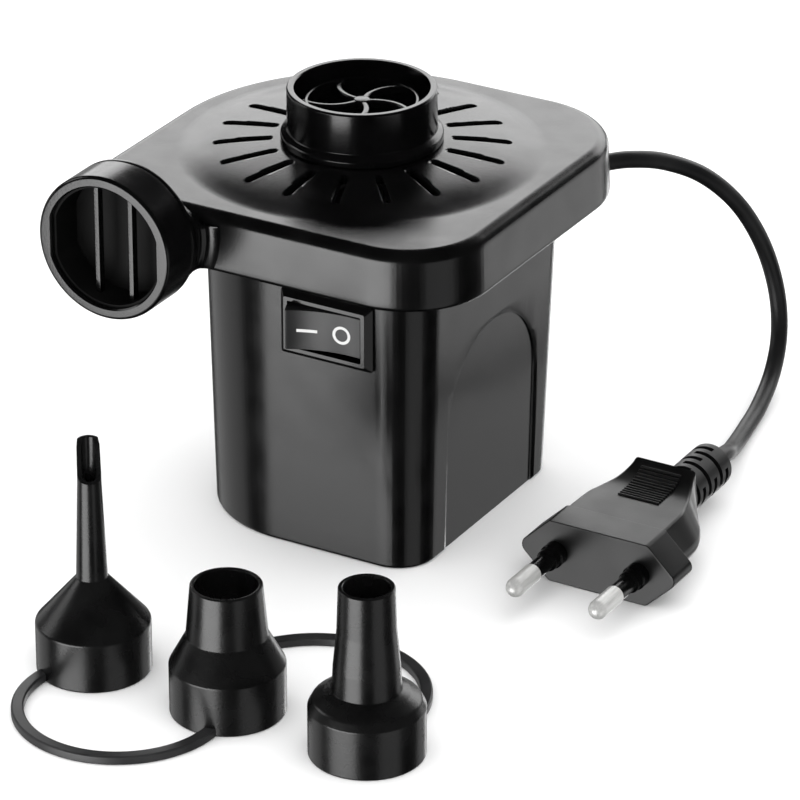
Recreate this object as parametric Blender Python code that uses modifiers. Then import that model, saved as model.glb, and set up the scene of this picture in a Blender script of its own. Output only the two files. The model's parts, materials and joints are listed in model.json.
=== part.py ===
"""Electric air mattress pump with its lead, plug and three clip-on nozzles.

Metres, +Z up. The origin lies on the floor under the axis of the air inlet, motor and fan.
The switch faces -Y and the air outlet points along -Y at the left.
"""

import math

import bmesh
import bpy
from mathutils import Matrix, Vector

MM = 0.001
GAP = 0.3 * MM
SEAT = 0.02 * MM

# Housing: a cup, nearly square on its right side and round on its left.
HOUSING_HALF = 28.5 * MM
HOUSING_BACK = 31.0 * MM
HOUSING_LEFT = 29.3 * MM
BACK_DRAFT = 0.036
HOUSING_RADII = (7.0 * MM, 24.0 * MM, 24.8 * MM, 8.5 * MM)
HOUSING_TOP = 64.7 * MM
HOUSING_WALL = 2.2 * MM
HOUSING_FLOOR = 2.0 * MM
HOUSING_FOOT_ROUND = 0.8 * MM
COLUMN_LENGTH = 13.4 * MM
DRAFT = 0.022
ARCH_Y = 3.0 * MM
ARCH_RADIUS = 18.0 * MM
ARCH_TOP = 45.0 * MM
ARCH_DEPTH = 0.6 * MM

# Top cover: a shell with a low dome and radial vents, and the inlet collar on it.
LID_HALF = 43.0 * MM
LID_RADII = (22.0 * MM, 43.0 * MM, 3.0 * MM, 18.0 * MM)
LID_BOTTOM = 65.0 * MM
LID_TOP = 77.6 * MM
LID_ROUND = 2.5 * MM
LID_WALL = 2.0 * MM
LID_SIDES = 60
DOME_RADIUS = 37.3 * MM
DOME_TOP = 80.0 * MM
VENT_COUNT = 18
VENT_INNER = 18.0 * MM
VENT_OUTER = 30.5 * MM
VENT_WIDTH = 2.3 * MM
COLLAR_RADIUS = 15.3 * MM
COLLAR_BORE = 13.75 * MM
COLLAR_TOP = 91.2 * MM
BEAD_RADIUS = 16.3 * MM
BEAD_Z = 80.6 * MM
GUARD_RADIUS = 11.65 * MM
GUARD_BORE = 10.9 * MM
GUARD_TOP = 88.5 * MM
GUARD_SPOKES = 5

# Outlet: a round collar on a short neck.
OUTLET_X = -25.3 * MM
OUTLET_Z = 72.3 * MM
OUTLET_FRONT = -57.9 * MM
OUTLET_RADIUS = 15.2 * MM
OUTLET_BORE = 12.9 * MM
OUTLET_FLAT = 12.2 * MM
COLLAR_LENGTH = 10.2 * MM
NECK_RADIUS = 14.2 * MM
BAR_SPREAD = 3.93 * MM
BAR_WIDTH = 1.1 * MM
BAR_RECESS = 3.9 * MM

# Fan chamber under the top cover.
PLATE_Z = LID_BOTTOM + GAP
PLATE_THICK = 2.0 * MM
SCROLL_TOP = 73.2 * MM
SCROLL_WIDE = 33.6 * MM
SCROLL_CLOSES = 4.5 * MM
IMPELLER_RADIUS = 25.0 * MM
IMPELLER_Z = 69.6 * MM
IMPELLER_BLADES = 9

# Motor: a small brushed motor, upright on the axis.
MOTOR_RADIUS = 14.5 * MM
MOTOR_BOTTOM = 16.0 * MM
MOTOR_TOP = 60.0 * MM
SHAFT_RADIUS = 1.5 * MM

# Rocker switch in the front wall.
SWITCH_X = 9.45 * MM
SWITCH_Z = 51.5 * MM
SWITCH_WIDTH = 21.2 * MM
SWITCH_HEIGHT = 14.2 * MM
SWITCH_PROUD = 2.0 * MM
SWITCH_BEVEL = 2.2 * MM
WELL_WIDTH = 17.0 * MM
WELL_HEIGHT = 10.2 * MM
ROCKER_HALF = 8.0 * MM
ROCKER_SAG = 1.2 * MM
ROCKER_REACH = 1.25 * MM
ROCKER_TILT = math.radians(12.5)
PIVOT_PROUD = 1.7 * MM

# Lead: its route from the gland to the plug, chosen by hand.
CORD_RADIUS = 1.85 * MM
CORD_X = 19.0 * MM
CORD_Z = 58.5 * MM
CORD_ROUTE = [
    (19.0, 41.5, 58.5), (19.8, 46.5, 58.6), (22.3, 51.6, 58.7), (25.8, 56.6, 58.6),
    (29.3, 62.2, 58.0), (33.6, 69.6, 55.6), (38.6, 78.2, 50.2), (43.0, 86.2, 41.4),
    (46.4, 91.8, 30.6), (49.0, 94.0, 19.6), (51.0, 92.0, 10.4), (53.2, 84.6, 4.4),
    (56.2, 72.0, 2.1), (58.8, 59.0, 1.95), (61.4, 48.6, 3.5), (63.2, 42.6, 5.7),
    (63.85, 38.8, 6.7), (64.0, 35.8, 7.0),
]
CORD_STEP = 9.0 * MM

# Two-pin plug, lying flat behind its pins.
PLUG_X = 64.0 * MM
PLUG_FRONT = -16.5 * MM
PLUG_Z = 6.85 * MM
PLUG_WIDTH = 35.3 * MM
PLUG_HEIGHT = 13.7 * MM
PIN_SPREAD = 9.3 * MM
PIN_RADIUS = 2.0 * MM
PIN_LENGTH = 19.0 * MM
SLEEVE_LENGTH = 10.0 * MM
PLUG_PLATE = 7.5 * MM
BOOT_END = 35.4 * MM
BOOT_RADIUS = 4.9 * MM

# Plug body, front to back: Y, half width at the top, half width at mid height, top Z.
PLUG_BODY = [
    (-8.7, 10.9, 14.8, 13.5), (-0.3, 10.6, 14.6, 13.5), (2.5, 9.9, 13.9, 13.6), (5.4, 9.1, 12.5, 13.8),
    (7.4, 8.3, 11.2, 14.1), (9.7, 7.6, 9.6, 14.9), (12.9, 6.8, 7.5, 16.2),
]
PLUG_UNDER = 1.0 * MM

# Nozzles, standing in a row in front of the pump and tied by two straps.
NOZZLE_BASE = 11.4 * MM
NEEDLE_AT = (-7.45 * MM, -91.95 * MM)
WIDE_AT = (24.3 * MM, -93.5 * MM)
SLIM_AT = (56.0 * MM, -94.5 * MM)
STRAP_WIDTH = 2.5 * MM
STRAP_HEIGHT = 1.8 * MM

TURN_STEPS = 24


def clear_scene():
    for thing in list(bpy.data.objects):
        bpy.data.objects.remove(thing, do_unlink=True)


def new_collection(name, hidden=False):
    collection = bpy.data.collections.new(name)
    bpy.context.scene.collection.children.link(collection)
    collection.hide_render = hidden
    return collection


clear_scene()
PARTS = new_collection("air_mattress_pump")
CUTTERS = new_collection("cutters", hidden=True)
MATERIALS = {}
SETTINGS = {
    "black_plastic": ((0.012, 0.012, 0.013), 0.34, 0.0),
    "dark_plastic": ((0.02, 0.02, 0.022), 0.5, 0.0),
    "grey_plastic": ((0.35, 0.35, 0.36), 0.5, 0.0),
    "cord_rubber": ((0.015, 0.015, 0.015), 0.6, 0.0),
    "steel": ((0.6, 0.6, 0.6), 0.3, 1.0),
    "nickel": ((0.75, 0.73, 0.7), 0.25, 1.0),
    "copper": ((0.7, 0.3, 0.15), 0.35, 1.0),
    "magnet": ((0.05, 0.05, 0.055), 0.7, 0.0),
    "circuit_board": ((0.03, 0.16, 0.06), 0.5, 0.0),
    "wire_red": ((0.4, 0.02, 0.02), 0.5, 0.0),
}


def material(name):
    if name not in MATERIALS:
        colour, roughness, metallic = SETTINGS[name]
        made = bpy.data.materials.new(name)
        made.use_nodes = True
        shader = made.node_tree.nodes["Principled BSDF"]
        shader.inputs["Base Color"].default_value = (*colour, 1.0)
        shader.inputs["Roughness"].default_value = roughness
        shader.inputs["Metallic"].default_value = metallic
        MATERIALS[name] = made
    return MATERIALS[name]


def clean(shape):
    """Weld a bmesh and turn its faces outwards."""
    bmesh.ops.remove_doubles(shape, verts=shape.verts, dist=0.001 * MM)
    bmesh.ops.recalc_face_normals(shape, faces=shape.faces)


def place(name, shape, finish, origin=(0, 0, 0)):
    """Make an object of a bmesh; origin is where the object's own origin goes."""
    clean(shape)
    bmesh.ops.translate(shape, verts=shape.verts, vec=-Vector(origin))
    mesh = bpy.data.meshes.new(name)
    shape.to_mesh(mesh)
    shape.free()
    thing = bpy.data.objects.new(name, mesh)
    thing.location = origin
    if finish is None:
        CUTTERS.objects.link(thing)
        thing.hide_render = True
        thing.display_type = "WIRE"
    else:
        PARTS.objects.link(thing)
        mesh.materials.append(material(finish))
        mesh.shade_smooth()
        mesh.set_sharp_from_angle(angle=math.radians(35))
    return thing


def baked(thing):
    """The evaluated shape of an object as a bmesh in world space; the object is removed."""
    bpy.context.view_layer.update()
    graph = bpy.context.evaluated_depsgraph_get()
    mesh = bpy.data.meshes.new_from_object(thing.evaluated_get(graph))
    shape = bmesh.new()
    shape.from_mesh(mesh)
    shape.transform(thing.matrix_world)
    bpy.data.objects.remove(thing, do_unlink=True)
    bpy.data.meshes.remove(mesh)
    return shape


def combine(thing, tool, operation="DIFFERENCE"):
    modifier = thing.modifiers.new(tool.name, "BOOLEAN")
    modifier.operation = operation
    modifier.object = tool
    return thing


def box(name, low, high, finish=None):
    shape = bmesh.new()
    size = Vector(high) - Vector(low)
    middle = (Vector(high) + Vector(low)) / 2
    bmesh.ops.create_cube(shape, size=1.0, matrix=Matrix.Translation(middle) @ Matrix.Diagonal((*size, 1)))
    return place(name, shape, finish)


def rounded_box(name, low, high, finish, width, segments=2):
    thing = box(name, low, high, finish)
    bevel = thing.modifiers.new("edges", "BEVEL")
    bevel.width = width
    bevel.segments = segments
    return thing


def axis_matrix(at, axis):
    """Turn +Z to the named axis and move it to a place."""
    turns = {
        "Z": Matrix.Identity(4),
        "Y": Matrix.Rotation(-math.pi / 2, 4, "X"),
        "-Y": Matrix.Rotation(math.pi / 2, 4, "X"),
        "X": Matrix.Rotation(math.pi / 2, 4, "Y"),
    }
    return Matrix.Translation(at) @ turns[axis]


def rod(name, radius, length, at, axis="Z", finish=None, sides=TURN_STEPS, top=None):
    """A cylinder or cone that starts at a point and runs along an axis."""
    shape = bmesh.new()
    lift = Matrix.Translation((0, 0, length / 2))
    bmesh.ops.create_cone(
        shape, cap_ends=True, segments=sides, radius1=radius,
        radius2=radius if top is None else top, depth=length, matrix=axis_matrix(at, axis) @ lift,
    )
    return place(name, shape, finish)


def turned(name, profile, at=(0, 0, 0), axis="Z", finish=None, steps=TURN_STEPS):
    """A turned shape: the profile holds (radius, height) points; an open one ends on the axis."""
    mesh = bpy.data.meshes.new(name)
    closed = min(point[0] for point in profile) > 0
    edges = [(i, i + 1) for i in range(len(profile) - 1)]
    if closed:
        edges.append((len(profile) - 1, 0))
    mesh.from_pydata([(r, 0, z) for r, z in profile], edges, [])
    thing = bpy.data.objects.new(name, mesh)
    PARTS.objects.link(thing)
    screw = thing.modifiers.new("turn", "SCREW")
    screw.steps = steps
    screw.render_steps = steps
    screw.use_merge_vertices = True
    screw.merge_threshold = 0.0001 * MM
    shape = baked(thing)
    shape.transform(axis_matrix(at, axis))
    return place(name, shape, finish)


def prism(name, outlines, low, high, finish=None, axis="Z", at=(0, 0, 0)):
    """A flat outline, with any holes, made solid between two heights."""
    curve = bpy.data.curves.new(name, "CURVE")
    curve.dimensions = "2D"
    curve.fill_mode = "BOTH"
    curve.extrude = (high - low) / 2
    for outline in outlines:
        spline = curve.splines.new("POLY")
        spline.points.add(len(outline) - 1)
        for point, (x, y) in zip(spline.points, outline):
            point.co = (x, y, 0, 1)
        spline.use_cyclic_u = True
    thing = bpy.data.objects.new(name, curve)
    PARTS.objects.link(thing)
    shape = baked(thing)
    shape.transform(axis_matrix(at, axis) @ Matrix.Translation((0, 0, (low + high) / 2)))
    return place(name, shape, finish)


def tube(name, points, radius, finish, resolution=2):
    """A round wire through a list of points."""
    curve = bpy.data.curves.new(name, "CURVE")
    curve.dimensions = "3D"
    curve.bevel_depth = radius
    curve.bevel_resolution = resolution
    curve.use_fill_caps = True
    spline = curve.splines.new("POLY")
    spline.points.add(len(points) - 1)
    for point, place_at in zip(spline.points, points):
        point.co = (*place_at, 1)
    thing = bpy.data.objects.new(name, curve)
    PARTS.objects.link(thing)
    curve.materials.append(material(finish))
    return thing


def loft(name, rings, finish, closed=False):
    """Skin a stack of rings with equal point counts; closed joins the last ring to the first."""
    shape = bmesh.new()
    rows = [[shape.verts.new(point) for point in ring] for ring in rings]
    pairs = list(zip(rows, rows[1:]))
    if closed:
        pairs.append((rows[-1], rows[0]))
    for low, high in pairs:
        for i in range(len(low)):
            j = (i + 1) % len(low)
            shape.faces.new((low[i], low[j], high[j], high[i]))
    if not closed:
        shape.faces.new(rows[0])
        shape.faces.new(rows[-1])
    return place(name, shape, finish)


def circle(radius, count=TURN_STEPS, at=(0, 0), start=0.0, sweep=2 * math.pi):
    full = abs(sweep) > 2 * math.pi - 1e-6
    steps = count if full else count - 1
    angles = [start + sweep * i / steps for i in range(count)]
    return [(at[0] + radius * math.cos(a), at[1] + radius * math.sin(a)) for a in angles]


def reach(angle, halves, radii):
    """Distance from the centre to a rounded rectangle's edge along one direction.

    halves are the half sizes towards +X, +Y, -X and -Y; radii are the corners' radii in the
    quadrants from +X+Y, counted anticlockwise.
    """
    c, s = math.cos(angle), math.sin(angle)
    quadrant = (0 if s >= 0 else 3) if c >= 0 else (1 if s >= 0 else 2)
    half_x = halves[0] if c >= 0 else halves[2]
    half_y = halves[1] if s >= 0 else halves[3]
    radius = radii[quadrant]
    c, s = abs(c), abs(s)
    far = min(half_x / c if c > 1e-9 else 1e9, half_y / s if s > 1e-9 else 1e9)
    centre_x, centre_y = half_x - radius, half_y - radius
    if far * c > centre_x and far * s > centre_y:
        along = c * centre_x + s * centre_y
        apart = centre_x ** 2 + centre_y ** 2 - radius ** 2
        far = along + math.sqrt(max(along ** 2 - apart, 0.0))
    return far


def outline(count, halves, radii, grow=0.0):
    """A rounded rectangle around the axis, grown outwards by a distance."""
    halves = [half + grow for half in halves]
    radii = [max(radius + grow, 0.3 * MM) for radius in radii]
    points = []
    for i in range(count):
        angle = 2 * math.pi * i / count
        far = reach(angle, halves, radii)
        points.append((far * math.cos(angle), far * math.sin(angle)))
    return points


def lifted(flat, height):
    return [(x, y, height) for x, y in flat]


def rounded_rect(width, height, radius, at=(0, 0), steps=4):
    points = []
    corners = [(1, 1, 0), (-1, 1, 90), (-1, -1, 180), (1, -1, 270)]
    for sx, sy, start in corners:
        middle = (at[0] + sx * (width / 2 - radius), at[1] + sy * (height / 2 - radius))
        points += circle(radius, steps + 1, middle, math.radians(start), math.pi / 2)
    return points


def bent(angle, point, pivot):
    """Turn a flat point about a pivot."""
    c, s = math.cos(angle), math.sin(angle)
    x, y = point[0] - pivot[0], point[1] - pivot[1]
    return (pivot[0] + c * x - s * y, pivot[1] + s * x + c * y)


def smooth_route(route, step):
    """Points at about equal steps along a smooth curve through a route."""
    route = [Vector(point) for point in route]
    ends = [2 * route[0] - route[1]] + route + [2 * route[-1] - route[-2]]
    fine = []
    for p0, p1, p2, p3 in zip(ends, ends[1:], ends[2:], ends[3:]):
        for i in range(12):
            t = i / 12
            fine.append(
                0.5 * (2 * p1 + (p2 - p0) * t + (2 * p0 - 5 * p1 + 4 * p2 - p3) * t * t
                       + (3 * p1 - p0 - 3 * p2 + p3) * t ** 3)
            )
    fine.append(route[-1])
    lengths = [0.0]
    for a, b in zip(fine, fine[1:]):
        lengths.append(lengths[-1] + (b - a).length)
    count = round(lengths[-1] / step)
    points = []
    for i in range(count + 1):
        target = lengths[-1] * i / count
        k = min(max(j for j, d in enumerate(lengths) if d <= target + 1e-12), len(fine) - 2)
        part = (target - lengths[k]) / (lengths[k + 1] - lengths[k])
        points.append(fine[k].lerp(fine[k + 1], part))
    return points


def housing_outline(height, grow=0.0, count=64):
    halves = (HOUSING_HALF, HOUSING_BACK + BACK_DRAFT * height, HOUSING_LEFT, HOUSING_HALF)
    return outline(count, halves, HOUSING_RADII, grow + DRAFT * height)


def column_places():
    """The four screw columns inside the housing's corners, anticlockwise from +X+Y."""
    return [(24.7 * MM, 27.2 * MM), (-22.1 * MM, 19.8 * MM), (-19.8 * MM, -19.8 * MM), (24.4 * MM, -24.4 * MM)]


def boss_places():
    """The four screw bosses under the top cover's overhang, anticlockwise from +X+Y."""
    return [(30.0 * MM, 30.0 * MM), (-27.0 * MM, 26.4 * MM), (-37.4 * MM, -9.0 * MM), (32.0 * MM, -32.0 * MM)]


def gathered(name, tools):
    """Several cutters that stay apart, made one."""
    shape = bmesh.new()
    for tool in tools:
        tool.data.transform(tool.matrix_basis)
        shape.from_mesh(tool.data)
        bpy.data.objects.remove(tool, do_unlink=True)
    return place(name, shape, None)


def build_housing():
    top = HOUSING_TOP
    rings = [
        lifted(housing_outline(0, -HOUSING_FOOT_ROUND), 0),
        lifted(housing_outline(HOUSING_FOOT_ROUND), HOUSING_FOOT_ROUND),
        lifted(housing_outline(top), top),
        lifted(housing_outline(top, -HOUSING_WALL), top),
        lifted(housing_outline(HOUSING_FLOOR, -HOUSING_WALL), HOUSING_FLOOR),
    ]
    housing = loft("lower_housing", rings, "black_plastic")
    arch = [(ARCH_Y + ARCH_RADIUS, -5 * MM)]
    arch += circle(ARCH_RADIUS, 17, (ARCH_Y, ARCH_TOP - ARCH_RADIUS), 0, math.pi)
    arch += [(ARCH_Y - ARCH_RADIUS, -5 * MM)]
    recess = prism("arch_cutter", [arch], 0, 8 * MM)
    turn = Matrix.Rotation(math.pi / 2, 4, "Z") @ Matrix.Rotation(math.pi / 2, 4, "X")
    lean = Matrix.Rotation(DRAFT, 4, "Y")
    recess.data.transform(Matrix.Translation((HOUSING_HALF - ARCH_DEPTH, 0, 0)) @ lean @ turn)
    combine(housing, recess)
    for i, (x, y) in enumerate(column_places(), 1):
        combine(housing, rod(f"column_{i}", 3.3 * MM, COLUMN_LENGTH, (x, y, top - COLUMN_LENGTH), sides=16), "UNION")
    bores = [rod("bore", 1.6 * MM, 12 * MM, (x, y, top - 10 * MM), sides=14) for x, y in column_places()]
    combine(housing, gathered("column_bores", bores))
    window = box(
        "switch_window",
        (SWITCH_X - 9.4 * MM, -40 * MM, SWITCH_Z - 6.2 * MM),
        (SWITCH_X + 9.4 * MM, -24 * MM, SWITCH_Z + 6.2 * MM),
    )
    combine(housing, window)
    cord_hole = rod("cord_hole", 3.3 * MM, 12 * MM, (CORD_X, 26 * MM, CORD_Z), "Y", sides=20)
    combine(housing, cord_hole)
    return housing


def screw(name, at, head_z, tip_z, head_radius, head_height, shank_radius):
    """A pan-head screw with a round socket; it points down if its tip is below its head."""
    down = -1 if tip_z < head_z else 1
    socket, depth = head_radius * 0.4, head_height * 0.6
    profile = [
        (0, tip_z), (shank_radius, tip_z - down * 0.6 * MM), (shank_radius, head_z), (head_radius, head_z),
        (head_radius, head_z - down * head_height), (socket, head_z - down * head_height),
        (socket, head_z - down * (head_height - depth)), (0, head_z - down * (head_height - depth)),
    ]
    return turned(name, profile, at=(*at, 0), finish="steel", steps=8)


def build_screws():
    plate_top = PLATE_Z + PLATE_THICK
    for i, spot in enumerate(column_places(), 1):
        screw(f"housing_screw_{i}", spot, plate_top + 0.2 * MM, HOUSING_TOP - 8 * MM, 2.5 * MM, 1.5 * MM, 1.3 * MM)
    for i, spot in enumerate(boss_places(), 1):
        screw(f"cover_screw_{i}", spot, PLATE_Z + 0.9 * MM, 73.0 * MM, 2.3 * MM, 0.8 * MM, 1.3 * MM)


def lid_ring(height, grow, count=LID_SIDES):
    halves = (LID_HALF,) * 4
    return lifted(outline(count, halves, LID_RADII, grow), height)


def round_ring(height, radius, count=LID_SIDES):
    return lifted(circle(radius, count), height)


def lid_profile():
    """Rings of the top cover from its lower edge, over the dome to its hole, and back inside."""
    rings = [lid_ring(LID_BOTTOM, -0.9 * MM), lid_ring(LID_BOTTOM + 1.1 * MM, 0)]
    for i in range(3):
        turn = math.radians(45 * i)
        inset = LID_ROUND * (1 - math.cos(turn))
        rings.append(lid_ring(LID_TOP - LID_ROUND * (1 - math.sin(turn)), -0.35 * MM - inset))
    dome = [(DOME_RADIUS, LID_TOP + 0.05 * MM), (34 * MM, LID_TOP + 0.75 * MM), (30 * MM, LID_TOP + 1.3 * MM)]
    dome += [(18.5 * MM, DOME_TOP - 0.1 * MM), (BEAD_RADIUS, DOME_TOP)]
    dome += [(COLLAR_BORE, DOME_TOP), (COLLAR_BORE, DOME_TOP - LID_WALL)]
    dome += [(30 * MM, LID_TOP + 1.3 * MM - LID_WALL), (DOME_RADIUS, LID_TOP - LID_WALL)]
    rings += [round_ring(height, radius) for radius, height in dome]
    rings.append(lid_ring(LID_TOP - LID_WALL, -LID_WALL - 1.5 * MM))
    rings.append(lid_ring(LID_TOP - LID_WALL - 1.5 * MM, -LID_WALL))
    rings.append(lid_ring(LID_BOTTOM, -LID_WALL))
    return rings


def slot_shape(length_low, length_high, width, angle):
    """The outline of one radial slot with round ends."""
    points = circle(width / 2, 4, (length_high, 0), -math.pi / 2, math.pi)
    points += circle(width / 2, 4, (length_low, 0), math.pi / 2, math.pi)
    return [bent(angle, point, (0, 0)) for point in points]


def build_top_cover():
    lid = loft("top_cover", lid_profile(), "black_plastic", closed=True)
    neck = rod("neck", NECK_RADIUS, 6 * MM, (OUTLET_X, -47.4 * MM, OUTLET_Z), "Y", sides=40)
    slab = box("neck_slab", (-60 * MM, -60 * MM, LID_BOTTOM), (20 * MM, 0, LID_TOP - 0.4 * MM))
    combine(neck, slab, "INTERSECT")
    combine(lid, neck, "UNION")
    duct = prism(
        "duct_cutter", [rounded_rect(24.6 * MM, LID_TOP - LID_BOTTOM - 4.6 * MM, 1.5 * MM)],
        0, 18 * MM, axis="Y", at=(OUTLET_X, -52 * MM, (LID_TOP + LID_BOTTOM) / 2),
    )
    combine(lid, duct)
    round_end = VENT_WIDTH / 2
    slots = [
        slot_shape(VENT_INNER + round_end, VENT_OUTER - round_end, VENT_WIDTH, 2 * math.pi * (i + 0.5) / VENT_COUNT)
        for i in range(VENT_COUNT)
    ]
    combine(lid, prism("vent_cutters", slots, LID_TOP - 4 * MM, DOME_TOP + 3 * MM))
    foot = PLATE_Z + PLATE_THICK + GAP
    for i, (x, y) in enumerate(boss_places(), 1):
        combine(lid, rod(f"boss_{i}", 3.2 * MM, LID_TOP - 1 * MM - foot, (x, y, foot), sides=16), "UNION")
    bores = [rod("bore", 1.6 * MM, 8 * MM, (x, y, foot - 2 * MM), sides=14) for x, y in boss_places()]
    combine(lid, gathered("boss_bores", bores))
    return lid


def build_inlet_collar():
    """The upright round collar that stands on the dome, with a bead around its foot."""
    foot = DOME_TOP + SEAT
    turned(
        "inlet_collar",
        [(COLLAR_BORE, COLLAR_TOP - 0.3 * MM), (COLLAR_BORE, foot), (BEAD_RADIUS, foot), (BEAD_RADIUS, BEAD_Z + 0.3 * MM),
         (BEAD_RADIUS - 0.5 * MM, BEAD_Z + 1.1 * MM), (COLLAR_RADIUS, BEAD_Z + 1.3 * MM),
         (COLLAR_RADIUS, COLLAR_TOP - 0.4 * MM), (COLLAR_RADIUS - 0.4 * MM, COLLAR_TOP),
         (COLLAR_BORE + 0.3 * MM, COLLAR_TOP)],
        finish="black_plastic", steps=48,
    )


def build_inlet_guard():
    """The fan's inlet throat with a ring, a hub and curved spokes."""
    throat = turned(
        "inlet_guard",
        [(GUARD_RADIUS, GUARD_TOP), (GUARD_RADIUS, 79 * MM), (13.2 * MM, 78 * MM), (13.2 * MM, 76.4 * MM),
         (GUARD_BORE + 0.4 * MM, 76.4 * MM), (GUARD_BORE, 77.4 * MM), (GUARD_BORE, GUARD_TOP)],
        finish="black_plastic", steps=32,
    )
    hub = rod("guard_hub", 1.7 * MM, 1.6 * MM, (0, 0, GUARD_TOP - 1.6 * MM), sides=16)
    combine(throat, hub, "UNION")
    for i in range(GUARD_SPOKES):
        angle = 2 * math.pi * i / GUARD_SPOKES + math.radians(10)
        spine = circle(8.2 * MM, 7, (4.6 * MM, -6.6 * MM), math.radians(124), math.radians(-96))
        outer = [bent(angle, point, (0, 0)) for point in spine]
        inner = circle(7.1 * MM, 7, (4.6 * MM, -6.6 * MM), math.radians(28), math.radians(96))
        inner = [bent(angle, point, (0, 0)) for point in inner]
        spoke = prism(f"spoke_{i + 1}", [outer + inner], GUARD_TOP - 1.4 * MM, GUARD_TOP - 0.1 * MM)
        combine(throat, spoke, "UNION")
    return throat


def build_outlet():
    at = (OUTLET_X, OUTLET_FRONT, OUTLET_Z)
    back = COLLAR_LENGTH
    collar = turned(
        "outlet_collar",
        [(0, back), (OUTLET_RADIUS - 0.5 * MM, back), (OUTLET_RADIUS, back - 0.5 * MM),
         (OUTLET_RADIUS, 0.4 * MM), (OUTLET_RADIUS - 0.4 * MM, 0), (0, 0)],
        at=at, axis="Y", finish="black_plastic", steps=44,
    )
    corner = math.acos(OUTLET_FLAT / OUTLET_BORE)
    opening = circle(OUTLET_BORE, 13, (0, 0), corner, math.pi - 2 * corner)
    opening += circle(OUTLET_BORE, 13, (0, 0), math.pi + corner, math.pi - 2 * corner)
    combine(collar, prism("mouth_cutter", [opening], -2 * MM, back - 1.6 * MM, axis="Y", at=at))
    duct = prism(
        "collar_duct_cutter", [rounded_rect(22.6 * MM, LID_TOP - LID_BOTTOM - 4.6 * MM, 1.5 * MM)],
        0, 5 * MM, axis="Y", at=(OUTLET_X, OUTLET_FRONT + back - 3 * MM, (LID_TOP + LID_BOTTOM) / 2),
    )
    combine(collar, duct)
    for i, side in enumerate((-1, 1), 1):
        x = OUTLET_X + side * BAR_SPREAD
        half = math.sqrt(OUTLET_BORE ** 2 - BAR_SPREAD ** 2) + 0.5 * MM
        bar = box(
            f"outlet_bar_tool_{i}",
            (x - BAR_WIDTH / 2, OUTLET_FRONT + BAR_RECESS, OUTLET_Z - half),
            (x + BAR_WIDTH / 2, OUTLET_FRONT + BAR_RECESS + 1.6 * MM, OUTLET_Z + half),
        )
        combine(collar, bar, "UNION")
    return collar


def build_fan_plate():
    """The flat floor of the fan chamber, inside the top cover's rim."""
    low, high, count = PLATE_Z, PLATE_Z + PLATE_THICK, 44
    rim = outline(count, (LID_HALF,) * 4, LID_RADII, -LID_WALL - GAP)
    hole = circle(4.2 * MM, count)
    rings = [lifted(rim, low), lifted(rim, high), lifted(hole, high), lifted(hole, low)]
    plate = loft("fan_plate", rings, "dark_plastic", closed=True)
    bores = [rod("bore", 1.6 * MM, 8 * MM, (x, y, low - 3 * MM), sides=14) for x, y in column_places()]
    bores += [rod("bore", 1.3 * MM, 8 * MM, (0, side * 9 * MM, low - 3 * MM), sides=14) for side in (-1, 1)]
    for x, y in boss_places():
        bores.append(turned(
            "bore", [(0, high + 3 * MM), (1.6 * MM, high + 3 * MM), (1.6 * MM, low + 1.1 * MM),
                     (2.7 * MM, low + 1.1 * MM), (2.7 * MM, low - 3 * MM), (0, low - 3 * MM)],
            at=(x, y, 0), steps=14))
    combine(plate, gathered("plate_bores", bores))
    return plate


def build_scroll():
    """The spiral wall around the impeller; it opens towards the outlet."""
    base = PLATE_Z + PLATE_THICK + GAP
    steps = 20
    start, sweep = math.radians(205), math.radians(-300)
    inner, outer = [], []
    for i in range(steps + 1):
        part = i / steps
        angle = start + sweep * part
        radius = SCROLL_WIDE - SCROLL_CLOSES * part
        inner.append((radius * math.cos(angle), radius * math.sin(angle)))
        outer.append(((radius + 1.4 * MM) * math.cos(angle), (radius + 1.4 * MM) * math.sin(angle)))
    return prism("fan_scroll", [outer + inner[::-1]], base, SCROLL_TOP, "dark_plastic")


def build_impeller():
    base = IMPELLER_Z
    disc = turned(
        "impeller",
        [(3.4 * MM, base + 6.5 * MM), (4.2 * MM, base + 1.6 * MM), (IMPELLER_RADIUS, base + 1.2 * MM),
         (IMPELLER_RADIUS, base), (SHAFT_RADIUS + 0.02 * MM, base), (SHAFT_RADIUS + 0.02 * MM, base + 6.5 * MM)],
        finish="grey_plastic", steps=28,
    )
    for i in range(IMPELLER_BLADES):
        turn = 2 * math.pi * i / IMPELLER_BLADES
        arc = circle(16 * MM, 4, (10.5 * MM, -15.0 * MM), math.radians(108), math.radians(-68))
        back = circle(15.0 * MM, 4, (10.5 * MM, -15.0 * MM), math.radians(40), math.radians(68))
        blade = prism(
            f"blade_{i + 1}", [[bent(turn, point, (0, 0)) for point in arc + back]],
            base + 0.6 * MM, base + 4.6 * MM,
        )
        combine(disc, blade, "UNION")
    return disc


def build_rotor():
    build_impeller()
    shaft_foot = MOTOR_BOTTOM - 3.4 * MM
    nut_low, nut_high = IMPELLER_Z + 6.8 * MM, IMPELLER_Z + 9.2 * MM
    rod("motor_shaft", SHAFT_RADIUS, nut_high + GAP - shaft_foot, (0, 0, shaft_foot), finish="steel", sides=12)
    bore = SHAFT_RADIUS + 0.02 * MM
    prism("impeller_nut", [circle(3.0 * MM, 6), circle(bore, 12)], nut_low, nut_high, "steel")
    teeth, poles = [], 5
    for i in range(poles):
        middle = 2 * math.pi * i / poles
        teeth += circle(9.6 * MM, 5, (0, 0), middle - 0.5, 1.0)
        teeth += circle(4.6 * MM, 2, (0, 0), middle + 0.5, 2 * math.pi / poles - 1.0)
    prism("rotor_core", [teeth, circle(bore, 12)], 28 * MM, 49 * MM, "steel")
    prism("commutator", [circle(4.2 * MM, 16), circle(bore, 12)], 19.6 * MM, 26.6 * MM, "copper")


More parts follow.
